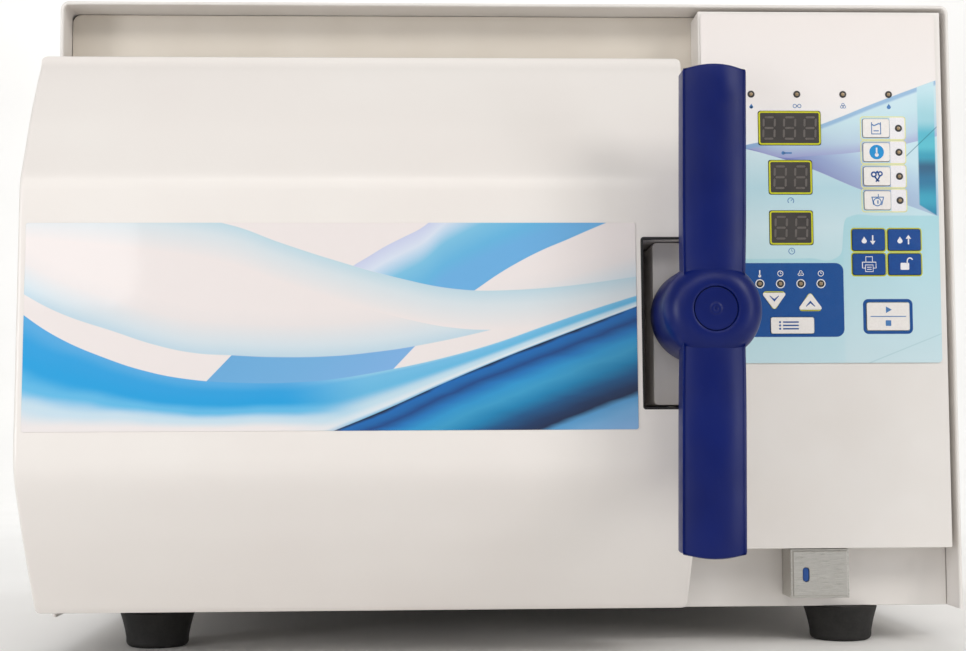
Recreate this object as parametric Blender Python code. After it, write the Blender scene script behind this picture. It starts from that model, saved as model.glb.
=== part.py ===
"""A benchtop steam autoclave, 510 mm wide: a sheet steel case round a horizontal pressure
chamber, a door on a vertical hinge at the left with a turning T handle at the right, a
control box with a keypad, and the water, steam and mains parts behind them.

+Z is up, the front faces -Y and +X is to the right of someone who faces it.  The origin is
on the table, under the middle of the whole machine.
"""
import math

import bmesh
import bpy
from mathutils import Matrix, Vector

MM = 0.001
GAP = 0.3 * MM                  # between fixed pieces that touch
RUNNING = 0.6 * MM              # round pieces that move
SEAL_STEPS = 44                 # facets of the gasket and its groove, which must match
HUB_STEPS = 40
DOME_STEPS = 5

# ---- case ---------------------------------------------------------------------------------
CASE_WIDTH = 510 * MM
CASE_HEIGHT = 367 * MM          # table to the top of the hood
CASE_DEPTH = 420 * MM
CASE_LIFT = 20.5 * MM           # table to the lower edge of the case
HOOD_SHEET = 2.2 * MM
HOOD_BEND = 5 * MM
FASCIA_RECESS = 21 * MM         # rim of the hood to the front panel
REAR_RECESS = 5 * MM
PANEL_SHEET = 1.5 * MM
BASE_STRIP = 41 * MM            # height of the base pan's front upstand
REAR_REACH = 22 * MM            # hose fittings behind the case

# ---- feet ---------------------------------------------------------------------------------
FOOT_TOP_RADIUS = 21 * MM
FOOT_SOLE_RADIUS = 17.5 * MM
FOOT_EDGE = 3 * MM
FOOT_LEFT_INSET = 52 * MM       # side of the case to the middle of a foot
FOOT_RIGHT_INSET = 61 * MM
FOOT_FRONT_INSET = 36 * MM      # rim of the hood to the middle of a front foot
FOOT_REAR_INSET = 40 * MM

# ---- chamber ------------------------------------------------------------------------------
CHAMBER_LIFT = 155.5 * MM       # lower edge of the case to the chamber's axis
CHAMBER_RADIUS = 122.5 * MM     # inside
CHAMBER_WALL = 1.8 * MM
CHAMBER_LENGTH = 365 * MM       # inside
FLANGE_LIP = 15.7 * MM          # how far the mouth's ring stands out from the tube
FLANGE_THICKNESS = 8.7 * MM
HEATER_WALL = 3 * MM
HEATER_WIDTH = 80 * MM
HEATER_INSET = 120 * MM
JACKET_WALL = 12 * MM
JACKET_SPACE = 5.5 * MM         # chamber wall to insulation
TRAY_SIDE_ROOM = 27.8 * MM      # chamber wall to a tray, at the lower tray's floor
TRAY_END_ROOM = 25 * MM         # far end of a tray to the chamber's end
TRAY_DEPTH = 14 * MM
TRAY_SHEET = 1.2 * MM
TRAY_DROP = 40 * MM             # chamber axis to the lower tray's floor
TRAY_RISE = 22 * MM             # chamber axis to the upper tray's floor
TRAY_INSET = 40 * MM            # flange face to a tray
RACK_BAR = 4 * MM

# ---- door ---------------------------------------------------------------------------------
DOOR_WIDTH = 346.5 * MM
DOOR_TOP_DROP = 41 * MM         # top of the hood to the top of the door
DOOR_LIFT = 6 * MM              # lower edge of the case to the bottom of the door
DOOR_GAP = 3 * MM               # rim of the hood to the back of the door
DOOR_EDGE_REACH = 40 * MM       # rim to the door's upper and lower front edges
DOOR_UPPER_REACH = 85 * MM      # rim to the upper end of the flat middle
DOOR_LOWER_REACH = 90.3 * MM    # rim to the lower end of the flat middle
DOOR_UPPER_SLOPE = 79 * MM      # height of the upper sloping face
DOOR_LOWER_SLOPE = 79.5 * MM
DOOR_SLOPE_BOW = 2.6 * MM       # how far the sloping faces bow out
DOOR_BEND_RADIUS = 30 * MM
DOOR_EDGE_RADIUS = 3 * MM
DOOR_SHELL = 2.5 * MM
FRAME_SHEET = 2.5 * MM
PLATE_MARGIN = 3 * MM           # how far the pressure plate is inside the flange's rim
PLATE_THICKNESS = 10.7 * MM
PLATE_DISH = 5 * MM
SEAL_INSET = 10.5 * MM          # rim of the flange to the middle of the gasket
SEAL_WIDTH = 8 * MM
SEAL_GROOVE = 4 * MM
FILM_THICKNESS = 0.4 * MM
FILM_LEFT_MARGIN = 4.2 * MM     # left side of the door to the film
FILM_NOTCH_MARGIN = 2.5 * MM    # film to the latch notch
FILM_LOW_MARGIN = 16.5 * MM     # lower bend to the film
FILM_HIGH_MARGIN = 18.5 * MM    # film to the upper bend

# ---- hinge --------------------------------------------------------------------------------
HINGE_INSET = 9 * MM            # side of the case to the hinge axis
HINGE_REACH = 14 * MM           # rim of the hood to the hinge axis
PIN_RADIUS = 3 * MM
BARREL_RADIUS = 5.5 * MM
BARREL_LENGTH = 16 * MM
LUG_THICKNESS = 12 * MM
LUG_WIDTH = 10 * MM
LUG_FOOT = 24 * MM
STRAP_LIFT = 64.5 * MM          # bottom of the door to the strap
STRAP_LENGTH = 172 * MM
STRAP_WIDTH = 36 * MM
DOOR_SWING = 105                # degrees

# ---- latch --------------------------------------------------------------------------------
LATCH_OUTSET = 1.5 * MM         # right side of the door to the latch's axis
LATCH_RISE = 5 * MM             # chamber axis to the latch's axis
BLOCK_REACH = 74 * MM           # rim to the front of the latch block
BLOCK_LEFT_WIDTH = 23 * MM      # latch axis to the block's left side
BLOCK_RIGHT_WIDTH = 13.5 * MM
BLOCK_FALL = 46 * MM            # latch axis to the block's underside
BLOCK_RISE = 38.5 * MM
NOTCH_SIDE_ROOM = 8 * MM        # block to the notch's left edge
NOTCH_UNDER_ROOM = 2.5 * MM
NOTCH_OVER_ROOM = 1.5 * MM
SPINDLE_RADIUS = 7 * MM
SPINDLE_HEAD_LENGTH = 34 * MM
SPINDLE_HEAD_WIDTH = 10 * MM
SPINDLE_HEAD_THICKNESS = 7 * MM
SPINDLE_SOCKET = 20 * MM        # how far the spindle enters the hub
HEAD_SWEEP = 3.5 * MM           # side room for the head as the door swings out
HEAD_GAP = 1.5 * MM             # fascia to the head behind it
SPINDLE_NECK_RADIUS = 4.5 * MM
SPINDLE_NECK_SPACE = 4 * MM     # door's back to the start of the neck
KEEPER_SHEET = 4.7 * MM
KEEPER_BORDER = 4 * MM
FLANGE_ROOM = 1 * MM            # keeper to the chamber's flange
HANDLE_HEIGHT = 243 * MM
HANDLE_WIDTH = 31.5 * MM
HANDLE_THICKNESS = 18.5 * MM
HANDLE_CROWN = 2 * MM           # rise of the handle's curved ends
HANDLE_BOW = 4.8 * MM           # how far the bar's front bulges beyond its sides
HANDLE_FILLET = 2.5 * MM
HUB_RADIUS = 24.7 * MM
HUB_LENGTH = 53.7 * MM
HUB_DOME = 12.5 * MM            # depth of the hub's domed front
HUB_LAND = 2 * MM               # flat ring round the cap
HUB_PROUD = 2 * MM              # hub face beyond the bar
CAP_RADIUS = 10.6 * MM
CAP_THICKNESS = 2 * MM

# ---- control box --------------------------------------------------------------------------
BOX_DOOR_ROOM = 16.7 * MM       # right side of the door to the box
BOX_SIDE_ROOM = 6.4 * MM        # box to the outside of the case
BOX_LIFT = 34.7 * MM            # lower edge of the case to the box's underside
BOX_TOP_DROP = 5.3 * MM         # top of the hood to the top of the box
BOX_REACH = 3 * MM              # rim of the hood to the box's face
BOX_SHEET = 1.2 * MM
OVERLAY_WIDTH = 135.6 * MM
OVERLAY_HEIGHT = 200.5 * MM
OVERLAY_SIDE_MARGIN = 3.4 * MM  # right side of the box to the film
OVERLAY_TOP_MARGIN = 1.7 * MM
OVERLAY_FILM = 0.5 * MM
OVERLAY_CORNER = 2 * MM
BOARD_MARGIN = 8 * MM
BOARD_TOP_MARGIN = 40 * MM      # top of the film to the opening behind it
BOARD_LOW_MARGIN = 11.5 * MM
BOARD_SHEET = 1.6 * MM
KEY_PROUD = 0.6 * MM
KEY_TRAVEL = 0.4 * MM
KEY_CORNER = 1 * MM
LED_RADIUS = 1.4 * MM
LIGHT_GUIDE = 0.6 * MM          # sheet behind the lamps and windows

# ---- keypad: places are across and down from the film's upper left corner ------------------
STATUS_LED_ACROSS = (28.6 * MM, 55 * MM, 81.6 * MM, 108.1 * MM)
STATUS_LED_DOWN = 46.4 * MM
SETTING_LED_ACROSS = (31.8 * MM, 43.6 * MM, 55.3 * MM, 66.8 * MM)
SETTING_LED_DOWN = 155.4 * MM
PROGRAM_COUNT = 4
PROGRAM_LED_SPACE = 5.5 * MM    # right side of a program key to its lamp
PROGRAM_KEY_ACROSS = 100.3 * MM
PROGRAM_KEY_DOWN = 66 * MM      # the highest key
PROGRAM_KEY_WIDTH = 15.2 * MM
PROGRAM_KEY_HEIGHT = 10.6 * MM
PROGRAM_KEY_SPACE = 3.3 * MM
FUNCTION_KEY_ACROSS = 94.6 * MM
FUNCTION_KEY_DOWN = 130.4 * MM
FUNCTION_KEY_WIDTH = 18.6 * MM
FUNCTION_KEY_HEIGHT = 12 * MM
FUNCTION_KEY_SPACE = 2 * MM
ARROW_KEY_ACROSS = (39.8 * MM, 60.4 * MM)
ARROW_KEY_DOWN = 165.4 * MM
ARROW_KEY_WIDTH = 15 * MM
ARROW_KEY_HEIGHT = 9.8 * MM
MENU_KEY_ACROSS = 50 * MM
MENU_KEY_DOWN = 179.2 * MM
MENU_KEY_WIDTH = 24.6 * MM
MENU_KEY_HEIGHT = 9.2 * MM
START_KEY_ACROSS = 104.9 * MM
START_KEY_DOWN = 174.2 * MM
START_KEY_WIDTH = 24.4 * MM
START_KEY_HEIGHT = 15.8 * MM
WINDOW_ACROSS = 50.4 * MM
WINDOW_DOWN = (66 * MM, 94.4 * MM, 123.4 * MM)
WINDOW_WIDTH = (35.8 * MM, 24.8 * MM, 24.8 * MM)
WINDOW_HEIGHT = 19.4 * MM

# ---- service cover ------------------------------------------------------------------------
COVER_INSET = 48.6 * MM         # left side of the control box to the cover
COVER_WIDTH = 33.2 * MM
COVER_LIFT = 6.8 * MM           # lower edge of the case to the cover
COVER_HEIGHT = 27.4 * MM
COVER_REACH = 2 * MM
COVER_EDGE = 1.3 * MM
COVER_SHEET = 1.5 * MM
COVER_SLOT_INSET = 8.4 * MM     # left side of the cover to the middle of its slot
COVER_SLOT_LIFT = 13.1 * MM
COVER_SLOT_WIDTH = 3.8 * MM
COVER_SLOT_HEIGHT = 8.2 * MM
RESET_TRAVEL = 1.5 * MM

# ---- water --------------------------------------------------------------------------------
TANK_WIDTH = 164 * MM
TANK_SIDE_ROOM = 15 * MM        # tank to the outside of the case
TANK_DEPTH = 148.4 * MM
TANK_INSET = 240 * MM           # rim of the hood to the tank's front wall
TANK_LENGTH = 160 * MM
TANK_SHEET = 1.2 * MM
MOUTH_INSET = 275 * MM
MOUTH_WIDTH = 124 * MM
MOUTH_LENGTH = 92 * MM
LID_SHEET = 3 * MM
LID_AXIS_INSET = 3 * MM
LID_MARGIN = 1 * MM
LID_LEDGE = 6 * MM              # how far the lid rests on the tank's front ledge
FINGER_NOTCH = 30 * MM
FINGER_NOTCH_DEPTH = 9 * MM
VALVE_BODY = 26 * MM
COIL_WIDTH = 30 * MM
COIL_HEIGHT = 38 * MM
FILL_VALVE_SIDE_ROOM = 55 * MM  # valve's middle to the outside of the case
FILL_VALVE_INSET = 320 * MM
EXHAUST_VALVE_OUTSET = 24 * MM  # latch axis to the exhaust valve's middle
EXHAUST_VALVE_INSET = 352 * MM
EXHAUST_VALVE_LIFT = 15.5 * MM
PIPE_RADIUS = 3 * MM

# ---- rear ---------------------------------------------------------------------------------
FAN_SIDE_ROOM = 77 * MM         # fan's middle to the outside of the case
FAN_LIFT = 129.5 * MM           # lower edge of the case to the fan's middle
FAN_SIZE = 80 * MM
FAN_THICKNESS = 25 * MM
FAN_BORE = 37 * MM
FAN_HUB = 15 * MM
FAN_BLADES = 7
GRILLE_SLOT = 4 * MM
GRILLE_PITCH = 9 * MM
INLET_SIDE_ROOM = 45 * MM
INLET_LIFT = 41.5 * MM
INLET_WIDTH = 32 * MM
INLET_HEIGHT = 58 * MM
INLET_FLANGE = 2.5 * MM
SOCKET_WIDTH = 24 * MM
SOCKET_HEIGHT = 16 * MM
SOCKET_DEPTH = 15 * MM
SOCKET_DROP = 14 * MM
ROCKER_RISE = 15 * MM
ROCKER_WIDTH = 18 * MM
ROCKER_HEIGHT = 13 * MM
ROCKER_TILT = 10                # degrees each way
SAFETY_RISE = 142 * MM          # chamber axis to the safety valve
SAFETY_RADIUS = 9 * MM
SAFETY_REACH = 7 * MM           # rear panel to the safety valve's tip
SAFETY_DEPTH = 16 * MM
RING_RADIUS = 6.5 * MM
RING_BAR = 1.2 * MM
RING_TRAVEL = 3 * MM
EXHAUST_OUTSET = 142 * MM       # chamber axis to the exhaust fitting, sideways
EXHAUST_LIFT = 31.5 * MM
EXHAUST_NECK = 6 * MM
LOUVRE_COUNT = 7
LOUVRE_WIDTH = 60 * MM
LOUVRE_HEIGHT = 4 * MM
LOUVRE_PITCH = 14 * MM
LOUVRE_LIFT = 79.5 * MM
POWER_BOARD_INSET = 60 * MM
POWER_BOARD_LENGTH = 150 * MM
POWER_BOARD_LIFT = 41.5 * MM
POWER_BOARD_HEIGHT = 130 * MM

# ---- derived places -----------------------------------------------------------------------
HANDLE_REACH = BLOCK_REACH + GAP + HUB_LENGTH
RIM = (HANDLE_REACH - CASE_DEPTH - REAR_REACH) / 2
SIDE = CASE_WIDTH / 2
INNER_SIDE = SIDE - HOOD_SHEET
HOOD_UNDER = CASE_HEIGHT - HOOD_SHEET
FASCIA_Y = RIM + FASCIA_RECESS
REAR_Y = RIM + CASE_DEPTH - REAR_RECESS
DOOR_LEFT = -SIDE
DOOR_RIGHT = DOOR_LEFT + DOOR_WIDTH
DOOR_TOP = CASE_HEIGHT - DOOR_TOP_DROP
DOOR_BOTTOM = CASE_LIFT + DOOR_LIFT
DOOR_UPPER_BEND = DOOR_TOP - DOOR_UPPER_SLOPE
DOOR_LOWER_BEND = DOOR_BOTTOM + DOOR_LOWER_SLOPE
DOOR_BACK = RIM - DOOR_GAP
CHAMBER_X = DOOR_LEFT + DOOR_WIDTH / 2
CHAMBER_Z = CASE_LIFT + CHAMBER_LIFT
CHAMBER_OUTER = CHAMBER_RADIUS + CHAMBER_WALL
FLANGE_RADIUS = CHAMBER_OUTER + FLANGE_LIP
PLATE_RADIUS = FLANGE_RADIUS - PLATE_MARGIN
SEAL_RADIUS = FLANGE_RADIUS - SEAL_INSET
TRAY_WIDTH = 2 * (math.sqrt(CHAMBER_RADIUS ** 2 - TRAY_DROP ** 2) - TRAY_SIDE_ROOM)
TRAY_LENGTH = CHAMBER_LENGTH - TRAY_INSET - TRAY_END_ROOM
STRAP_LOW = DOOR_BOTTOM + STRAP_LIFT
STRAP_HIGH = STRAP_LOW + STRAP_LENGTH
LATCH_X = DOOR_RIGHT + LATCH_OUTSET
LATCH_Z = CHAMBER_Z + LATCH_RISE
BLOCK_LEFT = LATCH_X - BLOCK_LEFT_WIDTH
BLOCK_RIGHT = LATCH_X + BLOCK_RIGHT_WIDTH
BLOCK_LOW = LATCH_Z - BLOCK_FALL
BLOCK_HIGH = LATCH_Z + BLOCK_RISE
NOTCH_LEFT = BLOCK_LEFT - NOTCH_SIDE_ROOM
NOTCH_LOW = BLOCK_LOW - NOTCH_UNDER_ROOM
NOTCH_HIGH = BLOCK_HIGH + NOTCH_OVER_ROOM
DOOR_FILM_LEFT = DOOR_LEFT + FILM_LEFT_MARGIN
DOOR_FILM_RIGHT = NOTCH_LEFT - FILM_NOTCH_MARGIN
DOOR_FILM_LOW = DOOR_LOWER_BEND + FILM_LOW_MARGIN
DOOR_FILM_HIGH = DOOR_UPPER_BEND - FILM_HIGH_MARGIN
SLOT_WIDTH = SPINDLE_HEAD_WIDTH + 2 * HEAD_SWEEP
SLOT_HEIGHT = SPINDLE_HEAD_LENGTH + 9 * MM
BOX_LEFT = DOOR_RIGHT + BOX_DOOR_ROOM
BOX_RIGHT = SIDE - BOX_SIDE_ROOM
BOX_LOW = CASE_LIFT + BOX_LIFT
BOX_HIGH = CASE_HEIGHT - BOX_TOP_DROP
OVERLAY_RIGHT = BOX_RIGHT - OVERLAY_SIDE_MARGIN
OVERLAY_LEFT = OVERLAY_RIGHT - OVERLAY_WIDTH
OVERLAY_HIGH = BOX_HIGH - OVERLAY_TOP_MARGIN
OVERLAY_LOW = OVERLAY_HIGH - OVERLAY_HEIGHT
BOARD_TOP = OVERLAY_HIGH - BOARD_TOP_MARGIN
BOARD_LOW = OVERLAY_LOW + BOARD_LOW_MARGIN
PROGRAM_KEY_PITCH = PROGRAM_KEY_HEIGHT + PROGRAM_KEY_SPACE
COVER_LEFT = BOX_LEFT + COVER_INSET
COVER_LOW = CASE_LIFT + COVER_LIFT
COVER_SLOT_X = COVER_LEFT + COVER_SLOT_INSET
COVER_SLOT_Z = COVER_LOW + COVER_SLOT_LIFT
TANK_RIGHT = SIDE - TANK_SIDE_ROOM
TANK_LEFT = TANK_RIGHT - TANK_WIDTH
TANK_TOP = CASE_HEIGHT - LID_SHEET - 2 * GAP
TANK_LOW = TANK_TOP - TANK_DEPTH
MOUTH_X = (TANK_LEFT + TANK_RIGHT) / 2
FILL_VALVE_X = SIDE - FILL_VALVE_SIDE_ROOM
EXHAUST_VALVE_X = LATCH_X + EXHAUST_VALVE_OUTSET
EXHAUST_VALVE_Z = CASE_LIFT + EXHAUST_VALVE_LIFT
FAN_X = SIDE - FAN_SIDE_ROOM
FAN_Z = CASE_LIFT + FAN_LIFT
INLET_X = SIDE - INLET_SIDE_ROOM
INLET_Z = CASE_LIFT + INLET_LIFT
INLET_FACE = REAR_Y + PANEL_SHEET + GAP + INLET_FLANGE
INLET_BODY_WIDTH = INLET_WIDTH - 8 * MM
INLET_BODY_HEIGHT = INLET_HEIGHT - 8 * MM
SAFETY_X = CHAMBER_X
SAFETY_Z = CHAMBER_Z + SAFETY_RISE
EXHAUST_X = CHAMBER_X + EXHAUST_OUTSET
EXHAUST_Z = CASE_LIFT + EXHAUST_LIFT
LOUVRE_X = CHAMBER_X
LOUVRE_Z = CASE_LIFT + LOUVRE_LIFT
HINGE_X = -SIDE + HINGE_INSET
HINGE_Y = RIM - HINGE_REACH
FLANGE_Y = FASCIA_Y - GAP - FLANGE_THICKNESS
FRAME_BACK = DOOR_BACK
FRAME_FRONT = FRAME_BACK - FRAME_SHEET
PLATE_FRONT = FRAME_BACK + GAP
BOX_FACE = RIM - BOX_REACH
OVERLAY_BACK = BOX_FACE - GAP
OVERLAY_FACE = OVERLAY_BACK - OVERLAY_FILM
BOARD_FACE = BOX_FACE + BOX_SHEET + RUNNING
HUB_FACE = RIM - HANDLE_REACH
BAR_FACE = HUB_FACE + HUB_PROUD
BAR_BACK = BAR_FACE + HANDLE_THICKNESS
HEAD_FRONT = FASCIA_Y + PANEL_SHEET + HEAD_GAP


# ---- shapes -------------------------------------------------------------------------------
def to_axis(axis, first, second, along):
    """A point from two coordinates across an axis and one along it."""
    if axis == "X":
        return (along, first, second)
    if axis == "Y":
        return (first, along, second)
    return (first, second, along)


def as_object(shape):
    bmesh.ops.recalc_face_normals(shape, faces=shape.faces)
    mesh = bpy.data.meshes.new("shape")
    shape.to_mesh(mesh)
    shape.free()
    solid = bpy.data.objects.new("shape", mesh)
    bpy.context.scene.collection.objects.link(solid)
    return solid


def prism(outline, axis, start, end):
    """An outline across an axis, carried along it from start to end."""
    shape = bmesh.new()
    first = [shape.verts.new(to_axis(axis, u, v, start)) for u, v in outline]
    last = [shape.verts.new(to_axis(axis, u, v, end)) for u, v in outline]
    shape.faces.new(first)
    shape.faces.new(last)
    for i in range(len(outline)):
        j = (i + 1) % len(outline)
        shape.faces.new((first[i], first[j], last[j], last[i]))
    return as_object(shape)


def block(x, y, z):
    """A box between three pairs of limits."""
    return prism([(x[0], y[0]), (x[1], y[0]), (x[1], y[1]), (x[0], y[1])], "Z", z[0], z[1])


def turned(profile, axis, centre, steps=48):
    """A closed profile of (radius, place along the axis), turned about an axis."""
    shape = bmesh.new()
    rings = []
    for step in range(steps):
        turn = 2 * math.pi * step / steps
        rings.append([shape.verts.new(to_axis(
            axis, centre[0] + radius * math.cos(turn), centre[1] + radius * math.sin(turn), along))
            for radius, along in profile])
    for ring, following in zip(rings, rings[1:] + rings[:1]):
        for i in range(len(profile)):
            j = (i + 1) % len(profile)
            shape.faces.new((ring[i], following[i], following[j], ring[j]))
    bmesh.ops.remove_doubles(shape, verts=shape.verts, dist=1e-6)
    return as_object(shape)


def tube(inner, outer, axis, centre, start, end, steps=48):
    return turned([(inner, start), (outer, start), (outer, end), (inner, end)],
                  axis, centre, steps)


def rod(radius, axis, centre, start, end, steps=24):
    return prism(circle(centre[0], centre[1], radius, steps), axis, start, end)


def circle(u, v, radius, steps):
    return [(u + radius * math.cos(2 * math.pi * i / steps),
             v + radius * math.sin(2 * math.pi * i / steps)) for i in range(steps)]


def rounded(corners, steps=4):
    """An outline whose corners, (u, v, radius), are arcs tangent to both sides."""
    outline = []
    for i, (u, v, radius) in enumerate(corners):
        here = Vector((u, v))
        before = Vector(corners[i - 1][:2]) - here
        after = Vector(corners[(i + 1) % len(corners)][:2]) - here
        half = before.angle(after) / 2
        reach = radius / math.tan(half)
        if radius == 0 or reach < 1e-7:
            outline.append((u, v))
            continue
        reach = min(reach, before.length * 0.49, after.length * 0.49)
        middle = here + (before.normalized() + after.normalized()).normalized() * (
            reach / math.cos(half))
        start = here + before.normalized() * reach - middle
        sweep = math.pi - 2 * half
        turn = 1 if before.cross(after) < 0 else -1
        for step in range(steps + 1):
            angle = turn * sweep * step / steps
            arm = Matrix.Rotation(angle, 2) @ start
            outline.append((middle.x + arm.x, middle.y + arm.y))
    return outline


def rectangle(u, v, width, height, radius=0.0, steps=3):
    """A rectangle about a middle point, with rounded corners."""
    right, left = u + width / 2, u - width / 2
    high, low = v + height / 2, v - height / 2
    corners = [(right, low), (right, high), (left, high), (left, low)]
    return rounded([(a, b, radius) for a, b in corners], steps)


def inset(outline, distance):
    """An outline moved inwards by a distance, side by side."""
    count = len(outline)
    area = sum(outline[i][0] * outline[(i + 1) % count][1]
               - outline[(i + 1) % count][0] * outline[i][1] for i in range(count))
    inward = distance if area > 0 else -distance
    moved = []
    for i in range(count):
        here = Vector(outline[i])
        before = (here - Vector(outline[i - 1])).normalized()
        after = (Vector(outline[(i + 1) % count]) - here).normalized()
        mitre = Vector((-before.y - after.y, before.x + after.x)).normalized()
        moved.append(here + mitre * inward / mitre.dot(Vector((-after.y, after.x))))
    return [(point.x, point.y) for point in moved]


def combine(body, tools, operation):
    for tool in tools:
        modifier = body.modifiers.new("combine", "BOOLEAN")
        modifier.operation = operation
        modifier.solver = "EXACT"
        modifier.object = tool
        finished = body.evaluated_get(bpy.context.evaluated_depsgraph_get())
        mesh = bpy.data.meshes.new_from_object(finished)
        body.modifiers.clear()
        body.data = mesh
        bpy.data.objects.remove(tool)
    return body


def joined(body, *tools):
    return combine(body, tools, "UNION")


def cut(body, *tools):
    return combine(body, tools, "DIFFERENCE")


def gathered(shapes):
    """Several shapes that don't touch, as one cutter."""
    whole = bmesh.new()
    for shape in shapes:
        whole.from_mesh(shape.data)
        bpy.data.objects.remove(shape)
    return as_object(whole)


def shell(outline, axis, start, end, wall):
    """A tray: an outline carried along an axis, hollow, closed at start and open at end."""
    beyond = end + (end - start)
    floor = start + math.copysign(wall, end - start)
    return cut(prism(outline, axis, start, end), prism(inset(outline, wall), axis, floor, beyond))


def node(name, solid, colour, roughness, metallic=0.0, smooth=False):
    """Names a finished solid and gives it its own material."""
    solid.name = name
    solid.data.name = name
    material = bpy.data.materials.new(name + "_finish")
    material.use_nodes = True
    shader = material.node_tree.nodes["Principled BSDF"]
    shader.inputs["Base Color"].default_value = (*colour, 1.0)
    shader.inputs["Roughness"].default_value = roughness
    shader.inputs["Metallic"].default_value = metallic
    solid.data.materials.clear()
    solid.data.materials.append(material)
    if smooth:
        solid.data.shade_smooth()
        solid.data.set_sharp_from_angle(angle=math.radians(35))
    return solid


def pivot(name, place, parent=None):
    """An empty on a joint's axis, which the moving pieces hang from."""
    empty = bpy.data.objects.new(name, None)
    bpy.context.scene.collection.objects.link(empty)
    empty.empty_display_size = 0.02
    empty.parent = parent
    origin = parent.matrix_world.translation if parent else Vector()
    empty.location = Vector(place) - origin
    bpy.context.view_layer.update()
    return empty


def hang(solid, empty):
    """Puts a solid's origin on its pivot and parents it there."""
    place = empty.matrix_world.translation
    solid.data.transform(Matrix.Translation(-place))
    solid.parent = empty
    return solid


# Colours are linear values.
# ---- small details ------------------------------------------------------------------------
OVERLAP = 1 * MM                # how far two joined solids, or a cutter, reach into each other
ROUND_END = 0.45                # a slot's corner radius as a share of its width
MOUTH_CORNER = 3 * MM
FASCIA_SLOT_ROOM = 3 * MM       # the fascia's slot is larger than the keeper's by this much
SLOT_CORNER = 2 * MM
HEATER_SPLIT = 5 * MM           # half the gap between the heater band's ends
JACKET_INSET = 4 * MM
TRAY_CORNER = 8 * MM
TRAY_SLOT = 8 * MM
TRAY_SLOT_SHARE = 0.6           # a drain slot's length as a share of the tray's width
RACK_ROOM = 1.5 * MM
RACK_INSET = 20 * MM
RAIL_REACH = 7 * MM
RAIL_THICKNESS = 2.5 * MM
LUG_SLOT_ROOM = 2.5 * MM
LUG_ROUNDING = 0.98             # a lug's corner radius as a share of its half width
FRAME_HINGE_ROOM = 6 * MM
TAB_INSET = 2 * MM
PLATE_RIM = 8 * MM              # flat rim inside the gasket's groove
DISH_SLOPE = 14 * MM            # width of the slope down into the plate's dish
LUG_BASE = 3 * MM
PIN_TAIL = 4 * MM
STRAP_LEAD = 2 * MM
BLOCK_CORNER = 2 * MM
CAP_SINK = 0.4 * MM
CROWN_STEPS = 6
BOW_STEPS = 5
BOARD_SPREAD = 3 * MM
WINDOW_PROUD = 0.2 * MM
LAMP_MARGIN = 3 * MM
LAMP_SHELF = 4 * MM
LAMP_EDGE = 1 * MM
KEY_BACK_ROOM = 0.2 * MM
BUTTON_ROUNDING = 0.48
RESET_SINK = 0.5 * MM
TANK_CORNER = 6 * MM
LID_CORNER = 2.5 * MM
PIPE_START_ACROSS = 40 * MM
PIPE_START_DROP = 70 * MM
PIPE_OUT = 16 * MM
PIPE_SIDE = 30 * MM
FAN_CORNER = 5 * MM
FAN_ARMS = 3
FAN_ARM_DEPTH = 3 * MM
FAN_ARM_HALF = 2 * MM
FAN_ARM_SINK = 0.2 * MM
FAN_BACK_INSET = 3 * MM
BLADE_SLANT = 7 * MM
BLADE_INSET = 2 * MM
BLADE_HALF = 1 * MM
ROCKER_AXIS_INSET = 2 * MM
ROCKER_BODY = 5 * MM
ROCKER_WAIST = 0.6              # the rocker's width at its back as a share of its front
ROCKER_SINK = 0.5 * MM
ROCKER_ROOM = 1.2 * MM
ROCKER_WELL = 14 * MM
INLET_DEPTH = 22 * MM
INLET_CORNER = 3 * MM
SOCKET_RISE = 2 * MM
SOCKET_BEVEL = 5 * MM
SOCKET_SIDE = 1.5 * MM
BLADE_PLACES = ((-6 * MM, -1 * MM), (0, 2.5 * MM), (6 * MM, -1 * MM))
BLADE_WIDTH = 2 * MM
BLADE_HEIGHT = 4 * MM
BLADE_SINK = 3 * MM
SAFETY_NECK = SAFETY_RADIUS * 0.6
SAFETY_EDGE = 3 * MM
SAFETY_SLOPE = 1 * MM
STEM_INSET = 2 * MM
RING_STEPS = 16
RING_BAR_STEPS = 6
EXHAUST_BORE = 2.5 * MM
EXHAUST_INSIDE = 14 * MM
BARB_DEPTH = 1.5 * MM
BARB_FIRST = 11 * MM
BARB_SECOND = 17 * MM
NUT_WIDTH = 4 * MM
NUT_DEPTH = 6 * MM
BOARD_WALL_SPACE = 6 * MM
# Transformer, two relays, rectifier, capacitors and the long heat sink on the power board:
# along, up, length, height and how far each stands off, in millimetres.
POWER_PARTS = ((12, 14, 52, 44, 38), (78, 12, 18, 26, 22), (78, 48, 18, 26, 22),
               (108, 12, 30, 20, 16), (110, 48, 26, 26, 30), (20, 76, 110, 34, 14))

WHITE_PAINT = (0.80, 0.78, 0.74)
NAVY_PLASTIC = (0.004, 0.012, 0.085)
BLUE_PRINT = (0.03, 0.16, 0.42)
DARK_GLASS = (0.045, 0.045, 0.05)
STEEL = (0.55, 0.55, 0.54)
BRASS = (0.60, 0.42, 0.15)
COPPER = (0.70, 0.33, 0.20)
BLACK_RUBBER = (0.012, 0.012, 0.012)
BLACK_PLASTIC = (0.02, 0.02, 0.02)
SILICONE = (0.55, 0.16, 0.09)
BOARD_GREEN = (0.02, 0.16, 0.06)
GLASS_WOOL = (0.62, 0.60, 0.50)


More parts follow.
